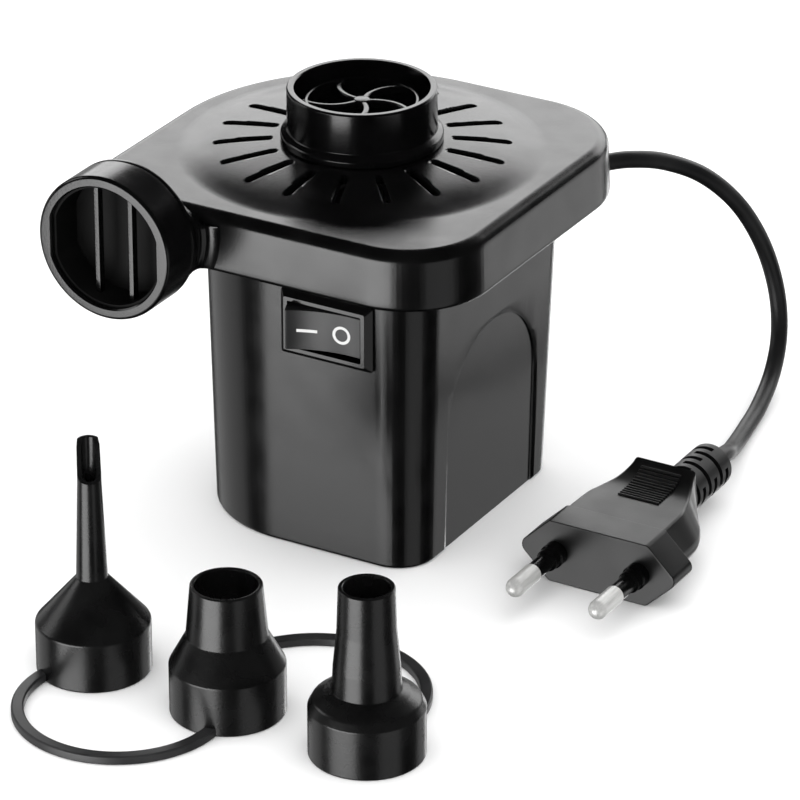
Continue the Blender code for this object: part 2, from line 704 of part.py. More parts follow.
def build_motor():
    r, low, high = MOTOR_RADIUS, MOTOR_BOTTOM, MOTOR_TOP
    can = turned(
        "motor_can",
        [(r, high - 1 * MM), (r, low + 5 * MM), (r - 1.2 * MM, low + 5 * MM), (r - 1.2 * MM, high - 1.4 * MM),
         (4.4 * MM, high - 1.4 * MM), (4.4 * MM, high), (r - 1 * MM, high)],
        finish="steel", steps=24,
    )
    for i, side in enumerate((-1, 1), 1):
        combine(can, rod(f"can_bore_{i}", 1.3 * MM, 5 * MM, (0, side * 9 * MM, high - 3 * MM), sides=12))
        turned(
            f"motor_screw_{i}",
            [(0, PLATE_Z + PLATE_THICK + 1.6 * MM), (2.0 * MM, PLATE_Z + PLATE_THICK + 1.6 * MM),
             (2.0 * MM, PLATE_Z + PLATE_THICK + 0.25 * MM), (1.0 * MM, PLATE_Z + PLATE_THICK + 0.25 * MM),
             (1.0 * MM, high - 1.2 * MM), (0, high - 1.2 * MM)],
            at=(0, side * 9 * MM, 0), finish="steel", steps=8,
        )
    spacer = turned(
        "motor_mount_ring",
        [(12.6 * MM, PLATE_Z - GAP), (12.6 * MM, high + GAP), (6.2 * MM, high + GAP), (6.2 * MM, PLATE_Z - GAP)],
        finish="dark_plastic", steps=24,
    )
    for i, side in enumerate((-1, 1), 1):
        combine(spacer, rod(f"spacer_bore_{i}", 1.4 * MM, 9 * MM, (0, side * 9 * MM, high - 1 * MM), sides=12))
    turned(
        "motor_end_cap",
        [(r, low + 5 * MM - GAP), (r, low + 1 * MM), (r - 1 * MM, low), (4.0 * MM, low), (4.0 * MM, low + 1.8 * MM),
         (r - 1.6 * MM, low + 1.8 * MM), (r - 1.6 * MM, low + 5 * MM - GAP)],
        finish="dark_plastic", steps=24,
    )
    for i in range(2):
        half = math.radians(62)
        middle = math.pi * i
        arc = circle(r - 1.5 * MM, 9, (0, 0), middle - half, 2 * half)
        arc += circle(10.4 * MM, 9, (0, 0), middle + half, -2 * half)
        prism(f"motor_magnet_{i + 1}", [arc], 26 * MM, 52 * MM, "magnet")
    bush = SHAFT_RADIUS + 0.05 * MM
    for name, bottom in (("bearing_upper", high - 1.8 * MM), ("bearing_lower", low - 0.6 * MM)):
        prism(name, [circle(3.7 * MM, 16), circle(bush, 12)], bottom, bottom + 2.6 * MM, "copper")
    for i, side in enumerate((-1, 1), 1):
        rounded_box(
            f"brush_{i}",
            (min(side * 4.6, side * 9.6) * MM, -1.6 * MM, 20.8 * MM),
            (max(side * 4.6, side * 9.6) * MM, 1.6 * MM, 25.2 * MM), "magnet", 0.2 * MM, 1,
        )


def build_motor_cradle():
    """A ring on four legs that carries the motor's lower end above the housing's floor."""
    low, high = HOUSING_FLOOR + GAP, MOTOR_BOTTOM - GAP
    cradle = turned(
        "motor_cradle",
        [(13.0 * MM, high), (13.0 * MM, high - 2.2 * MM), (5.2 * MM, high - 2.2 * MM), (5.2 * MM, high)],
        finish="dark_plastic", steps=24,
    )
    for i in range(4):
        angle = math.radians(45 + 90 * i)
        spot = (11 * MM * math.cos(angle), 11 * MM * math.sin(angle), low)
        combine(cradle, rod(f"cradle_leg_{i + 1}", 1.8 * MM, high - low - 1 * MM, spot, sides=12), "UNION")
    return cradle


def switch_face(height=SWITCH_Z):
    """Y of the housing's front wall at a height."""
    return -(HOUSING_HALF + DRAFT * height)


def build_switch():
    front = switch_face()
    at = (SWITCH_X, front, SWITCH_Z)
    turn = axis_matrix(at, "-Y") @ Matrix.Rotation(math.pi, 4, "Z")
    shape_low = rounded_rect(SWITCH_WIDTH, SWITCH_HEIGHT, 0.5 * MM, steps=2)
    shape_high = rounded_rect(SWITCH_WIDTH - SWITCH_BEVEL, SWITCH_HEIGHT - SWITCH_BEVEL, 0.4 * MM, steps=2)
    rings = [
        [turn @ Vector((x, y, 0.35 * MM)) for x, y in shape_low],
        [turn @ Vector((x, y, 0.9 * MM)) for x, y in shape_low],
        [turn @ Vector((x, y, SWITCH_PROUD)) for x, y in shape_high],
    ]
    frame = loft("switch_frame", rings, "black_plastic")
    case = box(
        "switch_case_tool",
        (SWITCH_X - 9.0 * MM, front - 0.8 * MM, SWITCH_Z - 5.9 * MM),
        (SWITCH_X + 9.0 * MM, front + 9.6 * MM, SWITCH_Z + 5.9 * MM),
    )
    combine(frame, case, "UNION")
    well = box(
        "switch_well",
        (SWITCH_X - WELL_WIDTH / 2, front - 5 * MM, SWITCH_Z - WELL_HEIGHT / 2),
        (SWITCH_X + WELL_WIDTH / 2, front + 8.0 * MM, SWITCH_Z + WELL_HEIGHT / 2),
    )
    combine(frame, well)
    for i, side in enumerate((-1, 1), 1):
        x = SWITCH_X + side * 4.4 * MM
        box(
            f"switch_terminal_{i}",
            (x - 0.4 * MM, front + 9.9 * MM, SWITCH_Z - 2.4 * MM),
            (x + 0.4 * MM, front + 14.4 * MM, SWITCH_Z + 2.4 * MM), "nickel",
        )
    return frame


def rocker_pivot():
    return (SWITCH_X, switch_face() - PIVOT_PROUD, SWITCH_Z)


def build_rocker():
    """A rocker with a hollow face, pressed in at the right, turning about an upright axis."""
    px, py, pz = rocker_pivot()
    half = ROCKER_HALF
    flat = []
    for i in range(9):
        part = i / 4 - 1
        flat.append((half * part, ROCKER_SAG * (1 - part * part) - ROCKER_REACH))
    flat += [
        (half - 0.1 * MM, 0.3 * MM), (half - 0.8 * MM, 2.6 * MM), (2.4 * MM, 6.4 * MM), (-2.4 * MM, 6.4 * MM),
        (0.8 * MM - half, 2.6 * MM), (0.1 * MM - half, 0.3 * MM),
    ]
    flat = [bent(ROCKER_TILT, point, (0, 0)) for point in flat]
    tall = WELL_HEIGHT / 2 - GAP
    rocker = prism("switch_rocker", [flat], pz - tall, pz + tall, "black_plastic", at=(px, py, 0))
    rocker.data.transform(Matrix.Translation((-px, -py, -pz)))
    rocker.location = (px, py, pz)
    return rocker


def build_electrics():
    floor = HOUSING_FLOOR + GAP
    rounded_box("circuit_board", (-22 * MM, 15.6 * MM, 20 * MM), (12 * MM, 17.2 * MM, 46 * MM), "circuit_board",
                0.2 * MM, 1)
    rod("capacitor", 4.0 * MM, 8.6 * MM, (-8.5 * MM, 17.5 * MM, 38 * MM), "Y", "dark_plastic", 18)
    rounded_box("rectifier", (-2 * MM, 17.5 * MM, 25 * MM), (8 * MM, 21.5 * MM, 35 * MM), "dark_plastic",
                0.5 * MM, 1)
    rounded_box("board_bracket", (-20 * MM, 14.6 * MM, floor), (10 * MM, 18.2 * MM, 19.7 * MM), "dark_plastic",
                0.3 * MM, 1)
    tube("lead_live", smooth_route(
        [(17 * MM, 28.5 * MM, 58.5 * MM), (16 * MM, 24 * MM, 57 * MM), (18.5 * MM, 12 * MM, 55 * MM),
         (19.5 * MM, -3 * MM, 53 * MM), (17.6 * MM, -11 * MM, 52 * MM), (15.2 * MM, -14.4 * MM, 51.5 * MM)], 6 * MM), 0.7 * MM, "wire_red", 1)
    tube("lead_neutral", smooth_route(
        [(21 * MM, 28.5 * MM, 58.5 * MM), (18.5 * MM, 24.5 * MM, 50 * MM), (14 * MM, 21.5 * MM, 40 * MM),
         (9 * MM, 18.4 * MM, 40 * MM)], 6 * MM), 0.7 * MM, "dark_plastic", 1)
    tube("lead_motor_1", smooth_route(
        [(-21 * MM, 14.8 * MM, 30 * MM), (-20.5 * MM, 8 * MM, 26 * MM), (-19 * MM, 0, 19 * MM),
         (-15.2 * MM, 0, 17.4 * MM)], 5 * MM), 0.7 * MM, "wire_red", 1)
    tube("lead_motor_2", smooth_route(
        [(10.5 * MM, 14.8 * MM, 26 * MM), (17 * MM, 10 * MM, 24 * MM), (19 * MM, 2 * MM, 19 * MM),
         (15.2 * MM, 0, 17.4 * MM)], 5 * MM), 0.7 * MM, "dark_plastic", 1)


def build_gland():
    wall = HOUSING_BACK + (DRAFT + BACK_DRAFT) * CORD_Z
    turned(
        "cord_gland",
        [(2.5 * MM, 41.2 * MM), (3.9 * MM, wall + 0.35 * MM + 1.2 * MM), (4.6 * MM, wall + 0.35 * MM),
         (3.0 * MM, wall + 0.35 * MM), (3.0 * MM, wall - HOUSING_WALL - 0.5 * MM),
         (2.15 * MM, wall - HOUSING_WALL - 0.5 * MM), (2.15 * MM, 41.2 * MM)],
        at=(CORD_X, 0, CORD_Z), axis="Y", finish="cord_rubber", steps=16,
    )


def build_cord():
    route = [(x * MM, y * MM, z * MM) for x, y, z in CORD_ROUTE]
    tube("cord", smooth_route(route, CORD_STEP), CORD_RADIUS, "cord_rubber")


def plug_section(half_width, half_height, y, cut):
    """An eight-sided section: a rectangle with sloping corners."""
    z = PLUG_Z
    w, h, k = half_width, half_height, cut
    corners = [(w, h * 0.30), (w - k * 0.25, h * 0.62), (w - k, h), (-w + k, h),
               (-w + k * 0.25, h * 0.62), (-w, h * 0.30)]
    corners += [(x, -y2) for x, y2 in reversed(corners)]
    return [(PLUG_X + x, y, z + up) for x, up in corners]


def grip_section(y, top_half, wide_half, top):
    """A section of the plug's body: flat above and below, widest at mid height."""
    low, middle = PLUG_UNDER / MM, PLUG_Z / MM
    half = [(top_half, top), (wide_half, middle + 0.9), (wide_half, middle - 0.9), (top_half, low)]
    corners = half + [(-x, z) for x, z in reversed(half)]
    return [(PLUG_X + x * MM, y * MM, z * MM) for x, z in corners]


def build_plug():
    w, h = PLUG_WIDTH / 2, PLUG_HEIGHT / 2
    front = PLUG_FRONT
    loft("plug_face", [
        plug_section(w - 0.6 * MM, h - 0.6 * MM, front, 7 * MM),
        plug_section(w, h, front + 0.6 * MM, 7 * MM),
        plug_section(w, h, front + PLUG_PLATE - 0.5 * MM, 7 * MM),
        plug_section(w - 0.4 * MM, h - 0.4 * MM, front + PLUG_PLATE, 7 * MM),
    ], "black_plastic")
    loft("plug_body", [grip_section(*row) for row in PLUG_BODY], "black_plastic")
    start = PLUG_BODY[-1][0] * MM + GAP
    turned(
        "plug_boot",
        [(2.35 * MM, BOOT_END), (3.4 * MM, BOOT_END), (4.6 * MM, BOOT_END - 1.2 * MM), (BOOT_RADIUS, BOOT_END - 4 * MM),
         (BOOT_RADIUS, start), (2.15 * MM, start)],
        at=(PLUG_X, 0, PLUG_Z), axis="Y", finish="cord_rubber", steps=20,
    )
    for i, side in enumerate((-1, 1), 1):
        x = PLUG_X + side * PIN_SPREAD
        sleeve_end = SLEEVE_LENGTH
        turned(
            f"pin_sleeve_{i}",
            [(0, sleeve_end), (PIN_RADIUS, sleeve_end), (PIN_RADIUS, 2.2 * MM), (3.0 * MM, 2.0 * MM),
             (3.0 * MM, GAP), (0, GAP)],
            at=(x, front, PLUG_Z), axis="-Y", finish="black_plastic", steps=16,
        )
        tip = [(0, PIN_LENGTH), (1.1 * MM, PIN_LENGTH - 0.35 * MM), (1.75 * MM, PIN_LENGTH - 1.0 * MM),
               (PIN_RADIUS, PIN_LENGTH - 2 * MM), (PIN_RADIUS, sleeve_end + GAP), (0, sleeve_end + GAP)]
        turned(f"plug_pin_{i}", tip, at=(x, front, PLUG_Z), axis="-Y", finish="nickel", steps=16)


def nozzle(name, at, outside, wall, steps=24):
    """A hollow nozzle, open at both ends; the wall's thickness follows the outside."""
    inside = [(radius - wall, height) for radius, height in outside]
    return turned(name, outside + inside[::-1], at=(*at, 0), finish="black_plastic", steps=steps)


def build_nozzles():
    base = NOZZLE_BASE
    needle = nozzle("nozzle_needle", NEEDLE_AT, [
        (2.3 * MM, 49.5 * MM), (2.35 * MM, 40.6 * MM), (3.1 * MM, 20.0 * MM), (base, 10.3 * MM), (base, 0)], 0.9 * MM)
    x, y = NEEDLE_AT
    cut = box("needle_cut", (x - 6 * MM, y - 9 * MM, 41.0 * MM), (x + 6 * MM, y, 60 * MM))
    cut.data.transform(Matrix.Translation((x, y, 0)) @ Matrix.Rotation(math.radians(40), 4, "Z")
                       @ Matrix.Translation((-x, -y, 0)))
    combine(needle, cut)
    nozzle("nozzle_wide", WIDE_AT, [
        (7.05 * MM, 27.3 * MM), (8.0 * MM, 16.6 * MM), (base, 10.3 * MM), (base, 0)], 0.95 * MM)
    nozzle("nozzle_slim", SLIM_AT, [
        (5.45 * MM, 35.6 * MM), (5.75 * MM, 26.6 * MM), (6.5 * MM, 18.9 * MM), (6.75 * MM, 13.9 * MM),
        (8.4 * MM, 13.2 * MM), (base, 10.8 * MM), (base, 0)], 0.95 * MM)
    build_straps()


def build_straps():
    """Two flat arcs that tie the nozzles together in a row."""
    links = [
        ("strap_1", (6.8 * MM, -104.4 * MM), 20.1 * MM, math.radians(171.5), math.radians(189)),
        ("strap_2", (36.5 * MM, -81.4 * MM), 21.8 * MM, math.radians(-5), math.radians(197.5)),
    ]
    for name, middle, radius, start, sweep in links:
        arc = circle(radius + STRAP_WIDTH / 2, 21, middle, start, sweep)
        arc += circle(radius - STRAP_WIDTH / 2, 21, middle, start + sweep, -sweep)
        strap = prism(name, [arc], 0, STRAP_HEIGHT, "black_plastic")
        for i, spot in enumerate((NEEDLE_AT, WIDE_AT, SLIM_AT), 1):
            room = rod(f"{name}_room_{i}", NOZZLE_BASE + GAP, 10 * MM, (*spot, -4 * MM), sides=56)
            combine(strap, room)


build_housing()
build_screws()
build_top_cover()
build_inlet_collar()
build_inlet_guard()
build_outlet()
build_fan_plate()
build_scroll()
build_rotor()
build_motor()
build_motor_cradle()
build_switch()
build_rocker()
build_electrics()
build_gland()
build_cord()
build_plug()
build_nozzles()
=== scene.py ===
"""Looks of the electric air mattress pump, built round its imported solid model. Metres, +Z up."""

import json
import math

import bmesh
import bpy
from mathutils import Matrix, Vector


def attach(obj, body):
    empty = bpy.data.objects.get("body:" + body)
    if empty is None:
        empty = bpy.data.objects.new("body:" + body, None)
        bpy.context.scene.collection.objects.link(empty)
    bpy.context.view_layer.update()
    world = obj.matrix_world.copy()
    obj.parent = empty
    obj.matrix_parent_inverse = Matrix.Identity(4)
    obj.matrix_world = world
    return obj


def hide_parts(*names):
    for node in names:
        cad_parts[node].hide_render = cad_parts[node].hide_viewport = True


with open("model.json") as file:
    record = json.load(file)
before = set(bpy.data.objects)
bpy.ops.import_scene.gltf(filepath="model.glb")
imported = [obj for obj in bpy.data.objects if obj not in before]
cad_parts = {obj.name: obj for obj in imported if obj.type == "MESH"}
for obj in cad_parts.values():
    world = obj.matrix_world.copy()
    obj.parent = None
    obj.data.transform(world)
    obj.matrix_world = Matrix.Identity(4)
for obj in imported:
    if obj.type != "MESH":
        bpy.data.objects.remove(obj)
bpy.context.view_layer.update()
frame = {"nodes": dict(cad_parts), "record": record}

MM = 0.001
NODES = frame["nodes"]

# Housing. Half widths are towards +X, +Y, -X and -Y; corner radii start between +X and +Y and go round.
HOUSING_HALVES = (28.5, 31.0, 29.3, 28.5)
HOUSING_RADII = (7.0, 24.0, 24.8, 8.5)
HOUSING_TOP = 64.7
HOUSING_WALL = 2.2
DRAFT = 0.022
BACK_DRAFT = 0.036
ARCH_Y = 3.0
ARCH_RADIUS = 18.0
ARCH_TOP = 45.0
ARCH_DEPTH = 0.6
ARCH_LIP = 1.0
GLAND_RADIUS = 4.9
GLAND_END = 41.2

# Top cover, in the same order.
LID_HALVES = (43.0,) * 4
LID_RADII = (22.0, 43.0, 3.0, 18.0)
LID_BOTTOM = 65.0
LID_TOP = 77.6
LID_ROUND = 2.5
LID_DRAFT = 0.35
LIP_ROUND = 1.1
LID_WALL = 2.0
VENT_COUNT = 18
VENT_INNER = 18.0
VENT_OUTER = 30.5
VENT_WIDTH = 2.3
# The cover's dome, as radius and height.
DOME = [
    (37.8, 77.6), (37.2, 77.62), (36.2, 77.72), (34.6, 78.0), (33.0, 78.33), (31.4, 78.63),
    (29.5, 78.93), (27.0, 79.23), (24.0, 79.51), (21.0, 79.75), (18.5, 79.92), (17.2, 79.98),
    (13.75, 80.0),
]
COLLAR_RADIUS = 15.3
COLLAR_BORE = 13.75
COLLAR_TOP = 91.2
BEAD_RADIUS = 16.6
GUARD_TOP = 88.5
HUB_RADIUS = 1.75
HUB_DEPTH = 1.7
SPOKE_COUNT = 5
SPOKE_MIDDLE = (4.6, -6.6)
SPOKE_RADIUS = 7.65
SPOKE_HALF = 0.62

# Outlet.
OUTLET = (-25.3, -57.9, 72.3)
OUTLET_RADIUS = 15.2
OUTLET_BORE = 12.9
OUTLET_FLAT = 12.2
OUTLET_LENGTH = 10.2
BAR_SPREAD = 3.93
BAR_BACK = 3.9

# Switch.
SWITCH = (9.45, 51.5)
SWITCH_SIZE = (21.2, 14.2)
WELL_SIZE = (17.0, 10.2)
SWITCH_OPENING = (18.6, 11.8)
ROCKER_HALF = 8.0
ROCKER_SAG = 1.2
ROCKER_REACH = 1.25
ROCKER_TILT = math.radians(12.5)
PIVOT_PROUD = 1.7
# The two marks on the rocker: the bar is for on, the ring for off.
BAR_AT = -3.55
BAR_HALF = 2.1
BAR_THICK = 0.32
RING_AT = 3.7
RING_RADII = (1.35, 1.95)
MARK_UP = -0.15
MARK_LIFT = 0.03

# Cord and plug.
CORD_RADIUS = 1.85
CORD_ROUTE = [
    (19.0, 41.5, 58.5), (19.8, 46.5, 58.6), (22.3, 51.6, 58.7), (25.8, 56.6, 58.6),
    (29.3, 62.2, 58.0), (33.6, 69.6, 55.6), (38.6, 78.2, 50.2), (43.0, 86.2, 41.4),
    (46.4, 91.8, 30.6), (49.0, 94.0, 19.6), (51.0, 92.0, 10.4), (53.2, 84.6, 4.4),
    (56.2, 72.0, 2.1), (58.8, 59.0, 1.95), (61.4, 48.6, 3.5), (63.2, 42.6, 5.7),
    (63.85, 38.8, 6.7), (64.0, 35.8, 7.0),
]
PLUG = (64.0, -16.5, 6.85)
PLUG_HALF = (18.2, 6.85)
PLATE_DEPTH = 8.1
PIN_SPREAD = 9.3
PIN_RADIUS = 2.0
PIN_LENGTH = 19.0
SLEEVE_RADIUS = 1.85
SLEEVE_LENGTH = 10.0
# Plug body, front to back: Y, half width at the top, half width at mid height, top Z.
PLUG_BODY = [
    (-8.6, 10.9, 14.8, 13.5), (-5.0, 10.8, 14.7, 13.5), (-0.3, 10.6, 14.6, 13.5),
    (2.5, 9.9, 13.9, 13.5), (5.4, 9.1, 12.5, 13.6), (7.4, 8.4, 11.2, 13.9),
    (9.7, 7.7, 9.6, 14.6), (11.6, 7.1, 8.3, 15.6), (12.9, 6.9, 7.5, 16.4),
]
RIB_COUNT = 12
RIB_FIRST = 1.2
RIB_STEP = 0.9
RIB_HALF = 4.7
RIB_RADIUS = 0.3
BOOT_RADIUS = 4.9
BOOT_END = 35.4
BOOT_CORE = 3.6
BOOT_ROWS = 7
BOOT_ROW_FIRST = 16.4
BOOT_ROW_STEP = 2.55
BOOT_SLOT_HALF = 0.62
BOOT_SLOT_ANGLE = math.radians(62)

# Nozzles, each outside from the tip down to the foot as radius, height and fillet.
NOZZLE_BASE = 11.4
NOZZLE_WALL = 0.95
NEEDLE_WALL = 0.9
NEEDLE = (-7.45, -91.95)
NEEDLE_TURN = math.radians(40)
NEEDLE_OUTSIDE = [
    (2.3, 49.5, 0.2), (2.35, 40.6, 0), (3.1, 20.0, 0.6), (NOZZLE_BASE, 10.3, 0.9), (NOZZLE_BASE, 0, 0.35),
]
WIDE = (24.3, -93.5)
WIDE_OUTSIDE = [
    (7.05, 27.3, 0.35), (8.0, 16.6, 0.9), (NOZZLE_BASE, 10.3, 0.9), (NOZZLE_BASE, 0, 0.35),
]
SLIM = (56.0, -94.5)
SLIM_OUTSIDE = [
    (5.45, 35.6, 0.3), (5.75, 26.6, 0.4), (6.5, 18.9, 0.4), (6.75, 13.9, 0.2), (8.4, 13.2, 0.9),
    (10.5, 11.9, 1.6), (NOZZLE_BASE, 10.2, 0.8), (NOZZLE_BASE, 0, 0.35),
]

# Straps: name, CAD node, middle, radius, first angle and sweep in degrees.
STRAPS = [
    ("tie_1", "strap_1", (6.8, -104.4), 20.1, 171, 190),
    ("tie_2", "strap_2", (36.5, -81.4), 21.8, -5.5, 198.5),
]
STRAP_HALF = 1.25
STRAP_TOP = 1.8

# Camera, floor and lights.
CAMERA_LENS = 241.2
CAMERA_AT = (0.50441, -0.86131, 0.51031)
CAMERA_TOWARDS = (-0.44774, 0.77820, -0.44037)
FLOOR_HALF = 8.0
FLOOR_DROP = 0.05
WORLD_STRENGTH = 1.6
# Panels: azimuth in degrees from -Y towards +X, distance, width, low and high edge in metres, radiance.
SOFTBOXES = {
    "front_low": (-12, 0.7, 0.62, -0.75, -0.38, 0.8),
    "front_mid": (-12, 0.7, 0.62, -0.38, -0.25, 4.2),
    "front_high": (-12, 0.7, 0.62, -0.25, 0.08, 6.0),
    "left_low": (-92, 1.0, 1.1, -1.2, 0.1, 0.6),
    "left_high": (-75, 0.8, 0.4, 0.25, 0.6, 1.8),
    "back_low": (-160, 1.3, 1.3, -1.6, 0.1, 0.4),
    "right_low": (152, 1.3, 0.6, -1.6, -0.59, 0.55),
    "right_mid": (152, 1.3, 0.6, -0.59, 0.0, 1.3),
    "back_mid": (-170, 0.9, 1.3, 0.1, 0.34, 2.4),
    "back_high": (-167, 0.9, 1.36, 0.34, 0.64, 3.4),
    "side_strip": (70, 0.8, 0.58, -0.9, 0.0, 0.55),
    "arch_kick": (183, 1.3, 0.2, -1.5, -0.1, 3.0),
}


# ---------------------------------------------------------------- shapes, in millimetres

def filleted(corners, closed=True, steps=5):
    """A flat outline with rounded corners, from (x, y, radius) corners."""
    points = []
    count = len(corners)
    for i, (x, y, radius) in enumerate(corners):
        if radius <= 0 or (not closed and i in (0, count - 1)):
            points.append((x, y))
            continue
        here = Vector((x, y))
        before = Vector(corners[i - 1][:2]) - here
        after = Vector(corners[(i + 1) % count][:2]) - here
        half = before.angle(after) / 2
        reach = min(radius / math.tan(half), 0.49 * before.length, 0.49 * after.length)
        radius = reach * math.tan(half)
        before, after = before.normalized(), after.normalized()
        if radius < 1e-4 or half > math.radians(89.5):
            points.append((x, y))
            continue
        middle = here + (before + after).normalized() * (radius / math.sin(half))
        first = here + before * reach - middle
        last = here + after * reach - middle
        start = math.atan2(first.y, first.x)
        sweep = (math.atan2(last.y, last.x) - start + math.pi) % (2 * math.pi) - math.pi
        for k in range(steps + 1):
            angle = start + sweep * k / steps
            points.append((middle.x + radius * math.cos(angle), middle.y + radius * math.sin(angle)))
    return points


def circle(radius, count, at=(0, 0), start=0.0, sweep=2 * math.pi):
    """Points round a circle, or along an arc of it with both ends."""
    full = abs(sweep) > 2 * math.pi - 1e-6
    steps = count if full else count - 1
    angles = [start + sweep * i / steps for i in range(count)]
    return [(at[0] + radius * math.cos(a), at[1] + radius * math.sin(a)) for a in angles]


def reach_of(angle, halves, radii):
    """Distance from the middle to a rounded rectangle's edge along one direction."""
    c, s = math.cos(angle), math.sin(angle)
    quadrant = (0 if s >= 0 else 3) if c >= 0 else (1 if s >= 0 else 2)
    half_x = halves[0] if c >= 0 else halves[2]
    half_y = halves[1] if s >= 0 else halves[3]
    radius = radii[quadrant]
    c, s = abs(c), abs(s)
    far = min(half_x / c if c > 1e-9 else 1e9, half_y / s if s > 1e-9 else 1e9)
    inner_x, inner_y = half_x - radius, half_y - radius
    if far * c > inner_x and far * s > inner_y:
        along = c * inner_x + s * inner_y
        apart = inner_x ** 2 + inner_y ** 2 - radius ** 2
        far = along + math.sqrt(max(along ** 2 - apart, 0.0))
    return far


def ring_angles(count, dense):
    """Even directions round the axis, with extra ones about each (middle, half width, count)."""
    angles = {round(2 * math.pi * i / count, 6) for i in range(count)}
    for middle, half, extra in dense:
        for i in range(extra + 1):
            angles.add(round(middle - half + 2 * half * i / extra, 6))
    return sorted(angles)


def outline(angles, halves, radii, grow):
    halves = [half + grow for half in halves]
    radii = [max(radius + grow, 0.3) for radius in radii]
    reaches = [reach_of(angle, halves, radii) for angle in angles]
    return [(reach * math.cos(angle), reach * math.sin(angle)) for angle, reach in zip(angles, reaches)]


def lifted(flat, height):
    return [(x, y, height) for x, y in flat]


def eased(points, steps):
    """A smooth curve through points, as Catmull-Rom, with a number of steps between each two."""
    first = [2 * a - b for a, b in zip(points[0], points[1])]
    last = [2 * a - b for a, b in zip(points[-1], points[-2])]
    ends = [first] + list(points) + [last]
    fine = []
    for rows in zip(ends, ends[1:], ends[2:], ends[3:]):
        for i in range(steps):
            t = i / steps
            place = []
            for p, q, r, s in zip(*rows):
                bend = (2 * p - 5 * q + 4 * r - s) * t * t + (3 * q - p - 3 * r + s) * t ** 3
                place.append(0.5 * (2 * q + (r - p) * t + bend))
            fine.append(tuple(place))
    return fine + [tuple(points[-1])]


def loft(rings, closed=False):
    """Skin rings with equal point counts; a closed loft joins the last ring to the first."""
    shape = bmesh.new()
    rows = [[shape.verts.new(point) for point in ring] for ring in rings]
    pairs = list(zip(rows, rows[1:]))
    if closed:
        pairs.append((rows[-1], rows[0]))
    for low, high in pairs:
        for i in range(len(low)):
            j = (i + 1) % len(low)
            shape.faces.new((low[i], low[j], high[j], high[i]))
    if not closed:
        shape.faces.new(rows[0])
        shape.faces.new(rows[-1])
    return shape


def turned(profile, steps, closed=True):
    """A turned shape about +Z from (radius, height) points; an open one starts and ends on the axis."""
    shape = bmesh.new()
    rows = []
    for radius, height in profile:
        if radius < 1e-6:
            rows.append([shape.verts.new((0, 0, height))])
        else:
            rows.append([shape.verts.new(point) for point in lifted(circle(radius, steps), height)])
    pairs = list(zip(rows, rows[1:]))
    if closed:
        pairs.append((rows[-1], rows[0]))
    for low, high in pairs:
        for i in range(steps):
            j = (i + 1) % steps
            corners = [low[i % len(low)], low[j % len(low)], high[j % len(high)], high[i % len(high)]]
            corners = list(dict.fromkeys(corners))
            if len(corners) > 2:
                shape.faces.new(corners)
    return shape


def prism(flat, low, high):
    return loft([lifted(flat, low), lifted(flat, high)])


def axis_turn(axis, at):
    """Turn +Z to +Y or -Y and move it to a place in millimetres."""
    turns = {"Y": -math.pi / 2, "-Y": math.pi / 2}
    return Matrix.Translation(at) @ Matrix.Rotation(turns[axis], 4, "X")


def merged(shapes):
    """Several shapes in one."""
    whole = bmesh.new()
    for shape in shapes:
        mesh = bpy.data.meshes.new("part")
        shape.to_mesh(mesh)
        shape.free()
        whole.from_mesh(mesh)
        bpy.data.meshes.remove(mesh)
    return whole


def moved(shape, matrix):
    shape.transform(matrix)
    return shape


def scene_object(name, shape):
    """An object in metres from a shape in millimetres."""
    bmesh.ops.remove_doubles(shape, verts=shape.verts, dist=0.0005)
    bmesh.ops.recalc_face_normals(shape, faces=shape.faces)
    shape.transform(Matrix.Scale(MM, 4))
    mesh = bpy.data.meshes.new(name)
    shape.to_mesh(mesh)
    shape.free()
    thing = bpy.data.objects.new(name, mesh)
    bpy.context.scene.collection.objects.link(thing)
    return thing


def carve(thing, shape):
    """Cut a shape in millimetres out of an object."""
    tool = scene_object("tool", shape)
    modifier = thing.modifiers.new("carve", "BOOLEAN")
    modifier.operation = "DIFFERENCE"
    modifier.object = tool
    bpy.context.view_layer.update()
    graph = bpy.context.evaluated_depsgraph_get()
    mesh = bpy.data.meshes.new_from_object(thing.evaluated_get(graph))
    thing.modifiers.clear()
    old, thing.data = thing.data, mesh
    bpy.data.meshes.remove(old)
    bpy.data.objects.remove(tool, do_unlink=True)


def settle(thing, material, body, stands_for=(), sharp=38):
    """Smooth a finished piece, give it its material, tie it to its body and hide the CAD nodes it stands for.
    """
    thing.data.materials.clear()
    thing.data.materials.append(material)
    thing.data.shade_smooth()
    thing.data.set_sharp_from_angle(angle=math.radians(sharp))
    weighted = thing.modifiers.new("even_shading", "WEIGHTED_NORMAL")
    weighted.keep_sharp = True
    weighted.weight = 50
    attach(thing, body)
    if stands_for:
        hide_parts(*stands_for)
    return thing


def piece(name, shape, material, body, stands_for=(), sharp=38):
    return settle(scene_object(name, shape), material, body, stands_for, sharp)


# ---------------------------------------------------------------- materials

def link(tree, source, output, target, entry):
    tree.links.new(source.outputs[output], target.inputs[entry])


def base_material(name):
    made = bpy.data.materials.new(name)
    made.use_nodes = True
    tree = made.node_tree
    return made, tree, tree.nodes["Principled BSDF"]


def noise_node(tree, scale, detail=2.0, rough=0.5):
    place = tree.nodes.new("ShaderNodeTexCoord")
    node = tree.nodes.new("ShaderNodeTexNoise")
    node.inputs["Scale"].default_value = scale
    node.inputs["Detail"].default_value = detail
    node.inputs["Roughness"].default_value = rough
    link(tree, place, "Object", node, "Vector")
    return node


